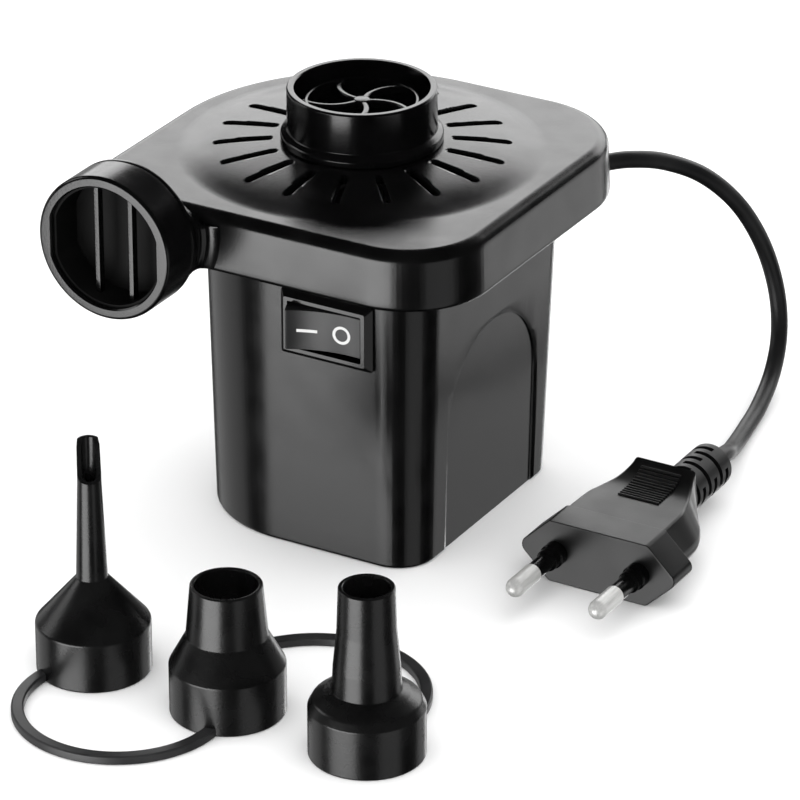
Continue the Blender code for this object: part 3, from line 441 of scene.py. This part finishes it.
def varied_gloss(tree, shader, source, rough):
    """Roughness between two values, following a noise."""
    node = tree.nodes.new("ShaderNodeMapRange")
    node.inputs["From Min"].default_value = 0.3
    node.inputs["From Max"].default_value = 0.7
    node.inputs["To Min"].default_value = rough[0]
    node.inputs["To Max"].default_value = rough[1]
    link(tree, source, "Fac", node, "Value")
    link(tree, node, "Result", shader, "Roughness")


def bumped(tree, shader, source, strength, height):
    bump = tree.nodes.new("ShaderNodeBump")
    bump.inputs["Strength"].default_value = strength
    bump.inputs["Distance"].default_value = height * MM
    link(tree, source, "Fac", bump, "Height")
    link(tree, bump, "Normal", shader, "Normal")


def speckled(tree, shader, source, dark, light):
    ramp = tree.nodes.new("ShaderNodeValToRGB")
    ramp.color_ramp.elements[0].position = 0.35
    ramp.color_ramp.elements[0].color = (*dark, 1)
    ramp.color_ramp.elements[1].position = 0.7
    ramp.color_ramp.elements[1].color = (*light, 1)
    link(tree, source, "Fac", ramp, "Fac")
    link(tree, ramp, "Color", shader, "Base Color")


def moulded(name, dark, light, rough, grain=0.35, size=2600.0, height=0.02, ior=1.5):
    """Moulded plastic or rubber: slight blotches in colour and gloss, and a fine grain."""
    made, tree, shader = base_material(name)
    wide = noise_node(tree, 140.0, 3.0)
    fine = noise_node(tree, size, 2.0, 0.6)
    speckled(tree, shader, wide, dark, light)
    varied_gloss(tree, shader, wide, rough)
    bumped(tree, shader, fine, grain, height)
    shader.inputs["IOR"].default_value = ior
    return made


def drawn_metal(name, dark, light, rough, metallic=1.0):
    """Metal with faint drawn lines along its length."""
    made, tree, shader = base_material(name)
    place = tree.nodes.new("ShaderNodeTexCoord")
    stretch = tree.nodes.new("ShaderNodeMapping")
    stretch.inputs["Scale"].default_value = (3000, 300, 3000)
    link(tree, place, "Object", stretch, "Vector")
    lines = tree.nodes.new("ShaderNodeTexNoise")
    lines.inputs["Scale"].default_value = 1.0
    lines.inputs["Detail"].default_value = 2.0
    link(tree, stretch, "Vector", lines, "Vector")
    speckled(tree, shader, lines, dark, light)
    varied_gloss(tree, shader, lines, rough)
    bumped(tree, shader, lines, 0.15, 0.01)
    shader.inputs["Metallic"].default_value = metallic
    return made


def near_grey(value, blue=1.0):
    """A grey, with its blue a little stronger or weaker."""
    return (value, value, value * blue)


SATIN = moulded("satin_black", near_grey(0.0016, 1.06), near_grey(0.0028, 1.04), (0.2, 0.26), 0.8)
GLOSS = moulded("gloss_black", near_grey(0.0014, 1.07), near_grey(0.0024, 1.04), (0.15, 0.2), 0.6)
NOZZLE = moulded("nozzle_black", near_grey(0.003, 1.03), near_grey(0.0055, 1.02), (0.24, 0.3), 1.0, 2200.0)
STRAP = moulded("strap_black", near_grey(0.016, 1.06), near_grey(0.026, 1.04), (0.38, 0.48), 0.7, 1900.0)
ROCKER = moulded("rocker_black", near_grey(0.009, 1.06), near_grey(0.013, 1.04), (0.28, 0.34), 0.3)
PLUG_SKIN = moulded("plug_black", near_grey(0.003, 1.03), near_grey(0.0055, 1.02), (0.3, 0.38), 0.45, 2400.0)
RUBBER = moulded(
    "cord_black", near_grey(0.006, 1.08), near_grey(0.01, 1.05), (0.36, 0.46), 0.8, 1500.0, 0.03, ior=1.38)
# Dull dark plastic for painted shade inside the outlet mouth.
PAINTED_SHADE = moulded("painted_shade_black", near_grey(0.004), near_grey(0.006), (0.5, 0.6), 0.3, ior=1.2)
BOOT = moulded("boot_black", near_grey(0.003, 1.03), near_grey(0.0055, 1.02), (0.38, 0.46), 0.5, 2000.0)
MARK = moulded("mark_white", near_grey(0.78, 0.99), near_grey(0.86, 0.99), (0.4, 0.5), 0.2)
NICKEL = drawn_metal("nickel", near_grey(0.56, 0.98), near_grey(0.66, 0.98), (0.3, 0.4), 0.45)
STEEL = drawn_metal("steel", near_grey(0.5), near_grey(0.66), (0.26, 0.38))
COPPER = drawn_metal("copper", (0.62, 0.28, 0.13), (0.74, 0.36, 0.18), (0.26, 0.38))
INNER = moulded("inner_black", near_grey(0.018, 1.06), near_grey(0.027, 1.04), (0.45, 0.55), 0.5)
# Grey plastic coloured near black: painted shade, so the fan seen through the vents reads dark.
FAN_PAINTED_SHADE = moulded("fan_painted_shade", near_grey(0.02, 1.05), near_grey(0.03, 1.03), (0.5, 0.6), 0.4, ior=1.3)
FERRITE = moulded("ferrite", near_grey(0.04, 1.05), near_grey(0.07, 1.06), (0.6, 0.75), 0.8, 1800.0)
BOARD = moulded("board_green", (0.02, 0.12, 0.045), (0.03, 0.17, 0.065), (0.35, 0.45), 0.3)
RED_WIRE = moulded("wire_red", (0.33, 0.012, 0.012), (0.44, 0.02, 0.02), (0.35, 0.45), 0.3)


# ---------------------------------------------------------------- camera, stage and lights

def build_camera():
    camera = bpy.data.objects.new("camera", bpy.data.cameras.new("camera"))
    bpy.context.scene.collection.objects.link(camera)
    camera.data.lens = CAMERA_LENS
    camera.data.sensor_width = 36
    camera.data.clip_end = 20
    camera.location = CAMERA_AT
    camera.rotation_euler = Vector(CAMERA_TOWARDS).to_track_quat("-Z", "Y").to_euler()
    bpy.context.scene.camera = camera


def build_floor():
    floor = bpy.data.objects.new("floor", bpy.data.meshes.new("floor"))
    half = FLOOR_HALF
    corners = [(-half, -half, 0), (half, -half, 0), (half, half, 0), (-half, half, 0)]
    floor.data.from_pydata(corners, [], [(0, 1, 2, 3)])
    bpy.context.scene.collection.objects.link(floor)
    floor.location.z = -FLOOR_DROP * MM
    made, _, shader = base_material("floor_white")
    shader.inputs["Base Color"].default_value = (0.93, 0.93, 0.93, 1)
    shader.inputs["Roughness"].default_value = 1.0
    shader.inputs["Specular IOR Level"].default_value = 0.0
    floor.data.materials.append(made)
    floor.visible_glossy = False
    floor.visible_shadow = False


def softbox(name, azimuth, distance, width, low, high, radiance):
    """An upright panel of light, seen only in reflections."""
    data = bpy.data.lights.new(name, "AREA")
    data.shape = "RECTANGLE"
    data.size = width
    data.size_y = high - low
    data.energy = radiance * width * (high - low) * math.pi
    panel = bpy.data.objects.new(name, data)
    bpy.context.scene.collection.objects.link(panel)
    turn = math.radians(azimuth)
    outwards = Vector((math.sin(turn), -math.cos(turn), 0))
    panel.location = outwards * distance + Vector((0, 0, (low + high) / 2))
    panel.rotation_euler = (-outwards).to_track_quat("-Z", "Y").to_euler()
    panel.visible_camera = False
    panel.visible_diffuse = False


def build_lights():
    world = bpy.data.worlds.new("studio")
    bpy.context.scene.world = world
    world.use_nodes = True
    ground = world.node_tree.nodes["Background"]
    ground.inputs["Color"].default_value = (1, 1, 1, 1)
    ground.inputs["Strength"].default_value = WORLD_STRENGTH
    world.cycles_visibility.glossy = False
    for name, box in SOFTBOXES.items():
        softbox(name, *box)
    bpy.context.scene.view_settings.view_transform = "Standard"


build_camera()
build_floor()
build_lights()


# ---------------------------------------------------------------- cord and plug

def build_cord():
    points = [(x, y, max(z, CORD_RADIUS)) for x, y, z in eased(CORD_ROUTE, 7)]
    curve = bpy.data.curves.new("lead", "CURVE")
    curve.dimensions = "3D"
    curve.bevel_depth = CORD_RADIUS * MM
    curve.bevel_resolution = 8
    curve.use_fill_caps = True
    spline = curve.splines.new("POLY")
    spline.points.add(len(points) - 1)
    for point, at in zip(spline.points, points):
        point.co = (*(Vector(at) * MM), 1)
    spline.use_smooth = True
    lead = bpy.data.objects.new("lead", curve)
    bpy.context.scene.collection.objects.link(lead)
    curve.materials.append(RUBBER)
    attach(lead, "housing")
    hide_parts("cord")
    lengths = [math.dist(a, b) for a, b in zip(points, points[1:])]
    return lead, sum(lengths) * MM


def hexagon(top_half, wide_half, low, high, corner, nose, steps=6):
    """A plug section: flat above and below, pointed at the sides, with rounded corners."""
    middle = (low + high) / 2
    corners = [(wide_half, middle, nose), (top_half, high, corner), (-top_half, high, corner),
               (-wide_half, middle, nose), (-top_half, low, corner), (top_half, low, corner)]
    return filleted(corners, steps=steps)


def plug_ring(y, flat):
    return [(PLUG[0] + x, y, z) for x, z in flat]


def build_plug():
    w, h = PLUG_HALF
    front = PLUG[1]
    depth = PLATE_DEPTH
    rings = []
    edge = [(0.0, 0.3), (0.09, 0.09), (0.3, 0.0), (depth - 0.2, 0.0), (depth - 0.06, 0.06), (depth, 0.2)]
    for along, inset in edge:
        flat = hexagon(w - 7.1 - inset * 0.6, w - inset * 1.2, inset, 2 * h - inset, 1.3, 1.9)
        rings.append(plug_ring(front + along, flat))
    plate = piece("plug_front", loft(rings), PLUG_SKIN, "housing", ["plug_face"])

    rings = []
    for y, top_half, wide_half, top in eased(PLUG_BODY, 5):
        rings.append(plug_ring(y, body_section(top_half, wide_half, top)))
    y, top_half, wide_half, top = PLUG_BODY[-1]
    for back, inset in ((0.25, 0.15), (0.45, 0.45), (0.5, 0.9)):
        rings.append(plug_ring(y + back, body_section(top_half - inset, wide_half - inset, top - inset)))
    grip = [loft(rings)]
    for i in range(RIB_COUNT):
        grip.append(rib(RIB_FIRST + RIB_STEP * i))
    body = piece("plug_grip", merged(grip), PLUG_SKIN, "housing", ["plug_body"])

    boot = build_boot()
    pins = []
    for i, side in enumerate((-1, 1), 1):
        at = (PLUG[0] + side * PIN_SPREAD, front, PLUG[2])
        sleeve = filleted([
            (0, SLEEVE_LENGTH, 0), (SLEEVE_RADIUS, SLEEVE_LENGTH, 0.1), (SLEEVE_RADIUS, 4.4, 0.05),
            (2.3, 4.2, 0.15), (2.3, 2.3, 0.05), (2.6, 2.1, 0.15), (2.6, 0.05, 0), (0, 0.05, 0),
        ], closed=False, steps=3)
        pins.append(piece(f"sleeve_{i}", moved(turned(sleeve, 48, closed=False), axis_turn("-Y", at)),
                          GLOSS, "housing", [f"pin_sleeve_{i}"]))
        tip = circle(PIN_RADIUS, 11, (0, PIN_LENGTH - PIN_RADIUS), 0, math.pi / 2)[:-1]
        pin = [(0, SLEEVE_LENGTH + 0.02), (PIN_RADIUS, SLEEVE_LENGTH + 0.02)] + tip + [(0, PIN_LENGTH)]
        pins.append(piece(f"pin_{i}", moved(turned(pin, 48, closed=False), axis_turn("-Y", at)),
                          NICKEL, "housing", [f"plug_pin_{i}"]))
    return [plate, body, boot] + pins


def body_section(top_half, wide_half, top):
    """The plug's body section: flat on top, widest a little below mid height, narrow underneath."""
    low = 1.0
    middle = PLUG[2]
    corners = [(wide_half, middle, 2.6), (top_half, top, 0.8), (-top_half, top, 0.8),
               (-wide_half, middle, 2.6), (-top_half, low, 1.0), (top_half, low, 1.0)]
    return filleted(corners, steps=6)


def plug_top(y):
    """Height of the plug body's top at a place along it."""
    for (y0, *_, z0), (y1, *_, z1) in zip(PLUG_BODY, PLUG_BODY[1:]):
        if y0 <= y <= y1:
            return z0 + (z1 - z0) * (y - y0) / (y1 - y0)
    return PLUG_BODY[-1][-1]


def rib(y):
    """One cross rib of the thumb rest, a low round bar that follows the slope."""
    rings = []
    for x in (-RIB_HALF, 0.15 - RIB_HALF, RIB_HALF - 0.15, RIB_HALF):
        r = RIB_RADIUS if abs(x) < RIB_HALF else RIB_RADIUS / 2
        rings.append([(PLUG[0] + x, y + r * c, plug_top(y) + 0.06 + r * s) for c, s in circle(1.0, 10)])
    return loft(rings)


def boot_axis(y):
    """Centre height of the boot, which follows the lead."""
    return PLUG[2] + 0.15 * max(0.0, min(1.0, (y - 24) / 11))


def boot_ring(y, z, radius):
    return [(PLUG[0] + radius * c, y, z + radius * s) for c, s in circle(1.0, 72)]


def build_boot():
    start = PLUG_BODY[-1][0] - 0.6
    end, wide = BOOT_END, BOOT_RADIUS
    profile = [
        (start, wide), (end - 3.4, wide), (end - 2.0, 4.7), (end - 1.0, 4.2), (end - 0.4, 3.6), (end, 2.9),
    ]
    rings = []
    for y, radius, _ in eased([(y, r, 0) for y, r in profile], 4):
        rings.append(boot_ring(y, boot_axis(y), radius))
    rings.append(boot_ring(end, boot_axis(end), CORD_RADIUS + 0.25))
    rings.append(boot_ring(end - 2, boot_axis(end), CORD_RADIUS + 0.05))
    boot = scene_object("boot", loft(rings))
    cutters = []
    half = BOOT_SLOT_ANGLE
    for row in range(BOOT_ROWS):
        place = axis_turn("Y", (PLUG[0], BOOT_ROW_FIRST + BOOT_ROW_STEP * row, PLUG[2]))
        for side in (0, 1):
            middle = math.radians(45 + 90 * (row % 2) + 180 * side)
            outer = circle(BOOT_RADIUS + 2.1, 17, (0, 0), middle - half, 2 * half)
            inner = circle(BOOT_CORE, 17, (0, 0), middle + half, -2 * half)
            cutters.append(moved(prism(outer + inner, -BOOT_SLOT_HALF, BOOT_SLOT_HALF), place))
    carve(boot, merged(cutters))
    return settle(boot, BOOT, "housing", ["plug_boot"])


lead, lead_length = build_cord()
lead_pieces = build_plug()


# ---------------------------------------------------------------- housing

def housing_ring(angles, height, grow=0.0):
    halves = list(HOUSING_HALVES)
    halves[1] += BACK_DRAFT * height
    return lifted(outline(angles, halves, HOUSING_RADII, grow + DRAFT * height), height)


def build_housing():
    angles = ring_angles(200, [(math.radians(45), 0.25, 40), (math.radians(315), 0.28, 40),
                               (math.radians(135), 0.5, 30), (math.radians(225), 0.5, 30)])
    rings = []
    for i in range(6):
        turn = math.radians(18 * i)
        rings.append(housing_ring(angles, 0.8 * (1 - math.cos(turn)), -0.8 * (1 - math.sin(turn))))
    for height in (6, 16, 26, 36, 46, 56, HOUSING_TOP - 0.2):
        rings.append(housing_ring(angles, height))
    rings.append(housing_ring(angles, HOUSING_TOP, -0.2))
    rings.append(housing_ring(angles, HOUSING_TOP, -HOUSING_WALL))
    rings.append(housing_ring(angles, 2.0, -HOUSING_WALL))
    cup = scene_object("housing_cup", loft(rings))
    rings = []
    for out, grow in ((0, 0), (ARCH_DEPTH - 0.28, 0.05), (ARCH_DEPTH + 0.02, ARCH_LIP), (8, ARCH_LIP)):
        arch = [(ARCH_Y + ARCH_RADIUS + grow, -5)]
        arch += circle(ARCH_RADIUS + grow, 65, (ARCH_Y, ARCH_TOP - ARCH_RADIUS), 0, math.pi)
        arch += [(ARCH_Y - ARCH_RADIUS - grow, -5)]
        rings.append(lifted(arch, out))
    upright = Matrix.Rotation(math.pi / 2, 4, "Z") @ Matrix.Rotation(math.pi / 2, 4, "X")
    lean = Matrix.Rotation(DRAFT, 4, "Y")
    place = Matrix.Translation((HOUSING_HALVES[0] - ARCH_DEPTH, 0, 0))
    carve(cup, moved(loft(rings), place @ lean @ upright))
    x, z = SWITCH
    w, h = SWITCH_OPENING[0] / 2, SWITCH_OPENING[1] / 2
    window = [(x - w, z - h), (x + w, z - h), (x + w, z + h), (x - w, z + h)]
    carve(cup, loft([[(px, -40, pz) for px, pz in window], [(px, -24, pz) for px, pz in window]]))
    settle(cup, SATIN, "housing", ["lower_housing"])


def build_gland():
    wall = HOUSING_HALVES[1] + (DRAFT + BACK_DRAFT) * CORD_ROUTE[0][2]
    bore = CORD_RADIUS + 0.1
    profile = filleted([
        (bore, GLAND_END, 0), (2.6, GLAND_END, 0.3), (4.1, wall + 1.7, 0.6), (GLAND_RADIUS, wall + 0.9, 0.4),
        (GLAND_RADIUS, wall - 0.3, 0), (bore, wall - 0.3, 0),
    ], steps=4)
    shape = moved(turned(profile, 64), axis_turn("Y", (CORD_ROUTE[0][0], 0, CORD_ROUTE[0][2])))
    piece("gland", shape, BOOT, "housing", ["cord_gland"])


build_housing()
build_gland()


# ---------------------------------------------------------------- top cover, collar and guard

def dome_height(radius):
    """Height of the cover's dome at a distance from the middle."""
    for (r0, z0), (r1, z1) in zip(DOME, DOME[1:]):
        if r1 <= radius <= r0:
            return z0 + (z1 - z0) * (radius - r0) / (r1 - r0)
    return LID_TOP


def vent_cutter():
    """One vent along +X, with a small chamfer where it meets the dome."""
    low, high = VENT_INNER + VENT_WIDTH / 2, VENT_OUTER - VENT_WIDTH / 2
    rings = []
    for grow, sink in ((-0.35, None), (-0.35, -0.28), (0, 0.03), (0, None)):
        half = VENT_WIDTH / 2 + grow
        along = [low + (high - low) * i / 8 for i in range(1, 8)]
        flat = circle(half, 11, (high, 0), -math.pi / 2, math.pi)
        flat += [(x, half) for x in reversed(along)]
        flat += circle(half, 11, (low, 0), math.pi / 2, math.pi)
        flat += [(x, -half) for x in along]
        if sink is None:
            rings.append(lifted(flat, 84 if rings else 72))
        else:
            rings.append([(x, y, dome_height(math.hypot(x, y)) + sink) for x, y in flat])
    return loft(rings)


def build_cover():
    angles = ring_angles(288, [(math.radians(225), 0.075, 28), (math.radians(315), 0.24, 30),
                               (math.radians(45), 0.3, 30)])

    def edge(height, grow):
        return lifted(outline(angles, LID_HALVES, LID_RADII, grow), height)

    def round_edge(height, radius):
        return [(radius * math.cos(a), radius * math.sin(a), height) for a in angles]

    rings = []
    for i in range(6):
        turn = math.radians(18 * i)
        rings.append(edge(LID_BOTTOM + LIP_ROUND * (1 - math.cos(turn)), -LIP_ROUND * (1 - math.sin(turn))))
    bottom = LID_BOTTOM + LIP_ROUND
    side = LID_TOP - LID_ROUND - bottom
    for i in range(4):
        part = i / 3
        rings.append(edge(bottom + side * (0.1 + 0.9 * part), -LID_DRAFT * part))
    for i in range(1, 13):
        turn = math.radians(7.5 * i)
        inset = LID_DRAFT + LID_ROUND * (1 - math.cos(turn))
        rings.append(edge(LID_TOP - LID_ROUND * (1 - math.sin(turn)), -inset))
    for radius, height in eased(DOME, 3):
        rings.append(round_edge(height, radius))
    rings.append(round_edge(78.0, COLLAR_BORE))
    rings.append(round_edge(76.8, 30))
    rings.append(round_edge(LID_TOP - LID_WALL, 37.3))
    rings.append(edge(LID_TOP - LID_WALL, -LID_WALL - 1.5))
    rings.append(edge(LID_TOP - LID_WALL - 1.5, -LID_WALL))
    rings.append(edge(LID_BOTTOM, -LID_WALL))
    cover = scene_object("cover_shell", loft(rings, closed=True))
    cutters = []
    for i in range(VENT_COUNT):
        turn = Matrix.Rotation(2 * math.pi * (i + 0.5) / VENT_COUNT, 4, "Z")
        cutters.append(moved(vent_cutter(), turn))
    carve(cover, merged(cutters))
    settle(cover, SATIN, "housing", ["top_cover"], sharp=42)


def build_neck():
    """The short neck between the cover's front and the outlet collar, with a ring round it."""
    x, _, z = OUTLET
    low = LID_BOTTOM + 0.6
    high = LID_TOP - LID_ROUND - 0.1
    profile = [(-47.75, 14.2, 0), (-46.9, 14.2, 0), (-46.7, 14.75, 0), (-46.1, 14.9, 0), (-45.5, 14.75, 0),
               (-45.3, 14.35, 0), (-44.9, 14.35, 0), (-44.7, 14.8, 0.1), (-44.2, 15.0, 0.3), (-43.8, 15.3, 0.5),
               (-43.4, 16.1, 0.75), (-43.0, 17.6, 0.95), (-42.0, 18.4, 1.0)]
    rings = []
    for y, radius, blend in profile:
        tight = min(1.0, 0.4 + 0.9 * blend)
        ring = []
        for c, s in circle(1.0, 128):
            up = z + radius * s
            if up < low:
                up = low - (low - up) * (1 - tight)
            if up > high:
                up = high + (up - high) * (1 - tight)
            ring.append((x + radius * c, y, up))
        rings.append(ring)
    piece("outlet_neck", loft(rings), GLOSS, "housing", sharp=50)


def build_collar():
    foot = DOME[-1][1] + 0.02
    profile = filleted([
        (COLLAR_BORE, foot, 0), (BEAD_RADIUS, foot, 0.5), (BEAD_RADIUS, 81.7, 0.9),
        (COLLAR_RADIUS, 82.5, 0.5), (COLLAR_RADIUS, COLLAR_TOP, 0.45), (COLLAR_BORE, COLLAR_TOP, 0.3),
    ], steps=7)
    piece("inlet_ring", turned(profile, 160), GLOSS, "housing", ["inlet_collar"])


def build_guard():
    ring = filleted([
        (11.65, GUARD_TOP, 0.2), (11.65, 79, 0.3), (13.2, 78, 0.1), (13.2, 76.4, 0), (11.3, 76.4, 0.2),
        (10.9, 77.4, 0.2), (10.9, GUARD_TOP, 0.2),
    ], steps=4)
    hub = filleted([
        (0, GUARD_TOP, 0), (HUB_RADIUS, GUARD_TOP, 0.35), (HUB_RADIUS, GUARD_TOP - HUB_DEPTH, 0),
        (0, GUARD_TOP - HUB_DEPTH, 0),
    ], closed=False, steps=4)
    shapes = [turned(ring, 128), turned(hub, 40, closed=False)]
    section = filleted([
        (-SPOKE_HALF, -1.5, 0), (SPOKE_HALF, -1.5, 0), (SPOKE_HALF, 0, 0.3), (-SPOKE_HALF, 0, 0.3),
    ], steps=3)
    for i in range(SPOKE_COUNT):
        turn = Matrix.Rotation(2 * math.pi * i / SPOKE_COUNT + math.radians(10), 4, "Z")
        rings = []
        for k in range(25):
            angle = math.radians(128 - 101 * k / 24)
            ring = []
            for out, up in section:
                reach = SPOKE_RADIUS + out
                ring.append((
                    SPOKE_MIDDLE[0] + reach * math.cos(angle),
                    SPOKE_MIDDLE[1] + reach * math.sin(angle),
                    GUARD_TOP - 0.12 + up,
                ))
            rings.append(ring)
        shapes.append(moved(loft(rings), turn))
    piece("guard_grille", merged(shapes), GLOSS, "housing", ["inlet_guard"])


def mouth_outline(grow):
    """The outlet's bore: a circle with a flat on each side."""
    radius = OUTLET_BORE + grow
    corner = math.acos((OUTLET_FLAT + grow) / radius)
    half = circle(radius, 61, (0, 0), corner, math.pi - 2 * corner)
    return half + circle(radius, 61, (0, 0), math.pi + corner, math.pi - 2 * corner)


def build_outlet():
    x, y, z = OUTLET
    back = OUTLET_LENGTH
    radius = OUTLET_RADIUS
    profile = filleted([
        (0, 0, 0), (radius, 0, 0.75), (radius, back - 1.5, 0.1), (radius - 0.25, back - 1.4, 0.1),
        (radius - 0.25, back - 1.1, 0.1), (radius, back - 1.0, 0.2), (radius, back, 0.35), (0, back, 0),
    ], closed=False, steps=6)
    place = axis_turn("Y", OUTLET)
    ring = scene_object("outlet_ring", moved(turned(profile, 160, closed=False), place))
    bore = [(-2, 0.3), (0.02, 0.3), (0.3, 0), (back + 2, 0)]
    carve(ring, moved(loft([lifted(mouth_outline(grow), out) for out, grow in bore]), place))
    settle(ring, GLOSS, "housing", ["outlet_collar"])
    # A dull dark cup inside the bore, closed behind the bars: painted shade for the dark inside of the outlet
    # and its duct.
    shade_lining = [(back - 0.05, -0.02), (1.2, -0.02), (1.2, -0.5), (back - 1.6, -0.5)]
    shade_cup = moved(loft([lifted(mouth_outline(grow), out) for out, grow in shade_lining]), place)
    settle(scene_object("outlet_shade_cup", shade_cup), PAINTED_SHADE, "housing")
    bars = []
    half = math.sqrt(OUTLET_BORE ** 2 - BAR_SPREAD ** 2)
    flat = filleted([(0.55, 0, 0.15), (0.55, 1.6, 0), (-0.55, 1.6, 0), (-0.55, 0, 0.15)], steps=3)
    for side in (-1, 1):
        middle = x + side * BAR_SPREAD
        rings = [[(middle + a, y + BAR_BACK + b, z + end) for a, b in flat] for end in (-half, half)]
        bars.append(loft(rings))
    piece("outlet_bars", merged(bars), GLOSS, "housing")


build_cover()
build_neck()
build_collar()
build_guard()
build_outlet()


# ---------------------------------------------------------------- switch

def wall_y(height):
    return -(HOUSING_HALVES[3] + DRAFT * height)


def build_switch():
    x, z = SWITCH
    front = wall_y(z)
    width, height = SWITCH_SIZE

    def flat(inset, radius):
        w, h = width / 2 - inset, height / 2 - inset
        return filleted([(w, h, radius), (-w, h, radius), (-w, -h, radius), (w, -h, radius)], steps=4)

    def place(points, out):
        return [(x + a, front - out, z + b) for a, b in points]

    w, h = WELL_SIZE[0] / 2, WELL_SIZE[1] / 2
    well = filleted([(w, h, 0.3), (-w, h, 0.3), (-w, -h, 0.3), (w, -h, 0.3)], steps=4)
    rings = [
        place(flat(0, 0.5), 0.05), place(flat(0, 0.5), 0.75), place(flat(0.12, 0.45), 0.9),
        place(flat(1.1, 0.4), 1.88), place(flat(1.25, 0.4), 2.0), place(well, 2.0), place(well, -8.0),
        place(flat(2.0, 0.3), -8.0), place(flat(2.0, 0.3), 0.05),
    ]
    bezel = loft(rings, closed=True)
    piece("switch_bezel", bezel, GLOSS, "housing", ["switch_frame"], sharp=25)

    half, tall = ROCKER_HALF, WELL_SIZE[1] / 2 - 0.25

    def side(pull):
        """The rocker seen from above; a pull draws its face back."""
        face = pull - ROCKER_REACH
        corner = max(0.3, face + 0.12)
        flat = [(-half, face, 0.3)]
        flat += [(half * k / 12, face + ROCKER_SAG * (1 - (k / 12) ** 2), 0) for k in range(-11, 12)]
        flat += [(half, face, 0.3), (half - 0.1, corner, 0), (half - 0.8, 2.6, 0.5), (2.4, 6.4, 0.5),
                 (-2.4, 6.4, 0.5), (0.8 - half, 2.6, 0.5), (0.1 - half, corner, 0)]
        return filleted(flat, steps=4)

    ends = [(tall - 0.62, 0), (tall - 0.42, 0.22), (tall, 1.3)]
    levels = [(-up, pull) for up, pull in reversed(ends)] + ends
    rings = [[(a, b, up) for a, b in side(pull)] for up, pull in levels]
    turn = Matrix.Translation((x, front - PIVOT_PROUD, z)) @ Matrix.Rotation(ROCKER_TILT, 4, "Z")
    piece("rocker", moved(loft(rings), turn), ROCKER, "rocker", ["switch_rocker"], sharp=22)

    def on_face(along, up, out):
        """A point on the rocker's hollow face."""
        sag = ROCKER_SAG * (1 - (along / half) ** 2)
        return turn @ Vector((along, sag - ROCKER_REACH - out, MARK_UP + up))

    sides = ((-BAR_THICK, -0.1), (BAR_THICK, -0.1), (BAR_THICK, MARK_LIFT), (-BAR_THICK, MARK_LIFT))
    rings = []
    for k in range(13):
        along = BAR_AT - BAR_HALF + 2 * BAR_HALF * k / 12
        rings.append([on_face(along, up, out) for up, out in sides])
    piece("mark_bar", loft(rings), MARK, "rocker")
    inner, outer = RING_RADII
    sides = ((inner, -0.1), (outer, -0.1), (outer, MARK_LIFT), (inner, MARK_LIFT))
    rings = []
    for c, s in circle(1.0, 64):
        rings.append([on_face(RING_AT + radius * c, radius * s, out) for radius, out in sides])
    piece("mark_ring", loft(rings, closed=True), MARK, "rocker")


build_switch()


# ---------------------------------------------------------------- nozzles and straps

def nozzle_shape(outside, wall, at):
    """A hollow nozzle of even wall thickness, standing at a place."""
    inside = [(radius - wall, height, fillet) for radius, height, fillet in reversed(outside)]
    shape = turned(filleted(outside + inside, steps=5), 128)
    return moved(shape, Matrix.Translation((*at, 0)))


def build_nozzles():
    needle = scene_object("needle", nozzle_shape(NEEDLE_OUTSIDE, NEEDLE_WALL, NEEDLE))
    flat = [(-6, -9), (6, -9), (6, 0), (-6, 0)]
    cut = [(40.9, -2.4), (41.2, -1.3), (41.9, -0.4), (43.2, 0.1), (48.0, 0.5), (49.0, 1.0), (60.0, 1.6)]
    rings = [[(a, b if b < 0 else back, height) for a, b in flat] for height, back in cut]
    turn = Matrix.Translation((*NEEDLE, 0)) @ Matrix.Rotation(NEEDLE_TURN, 4, "Z")
    carve(needle, moved(loft(rings), turn))
    settle(needle, NOZZLE, "nozzle_set", ["nozzle_needle"])
    wide = nozzle_shape(WIDE_OUTSIDE, NOZZLE_WALL, WIDE)
    piece("wide", wide, NOZZLE, "nozzle_set", ["nozzle_wide"])
    slim = nozzle_shape(SLIM_OUTSIDE, NOZZLE_WALL, SLIM)
    piece("slim", slim, NOZZLE, "nozzle_set", ["nozzle_slim"])


def build_straps():
    half, top = STRAP_HALF, STRAP_TOP
    corners = [(half, 0.05, 0.25), (half, top, 0.4), (-half, top, 0.4), (-half, 0.05, 0.25)]
    section = filleted(corners, steps=4)
    for name, node, middle, radius, start, sweep in STRAPS:
        rings = []
        for k in range(97):
            angle = math.radians(start + sweep * k / 96)
            c, s = math.cos(angle), math.sin(angle)
            ring = [(middle[0] + (radius + a) * c, middle[1] + (radius + a) * s, b) for a, b in section]
            rings.append(ring)
        piece(name, loft(rings), STRAP, "nozzle_set", [node])


build_nozzles()
build_straps()


# ---------------------------------------------------------------- the CAD nodes that stay

KEPT = {
    # The grey plastic takes the near-black painted shade.
    "dark_plastic": INNER, "grey_plastic": FAN_PAINTED_SHADE, "steel": STEEL, "nickel": NICKEL, "copper": COPPER,
    "magnet": FERRITE, "circuit_board": BOARD, "wire_red": RED_WIRE, "black_plastic": SATIN,
    "cord_rubber": RUBBER,
}


def dress_nodes():
    slots = {row["node"]: row["material_slot"] for row in frame["record"]["subparts"]}
    for name, node in NODES.items():
        if node.hide_render:
            continue
        node.data.materials.clear()
        node.data.materials.append(KEPT[slots[name]])


dress_nodes()
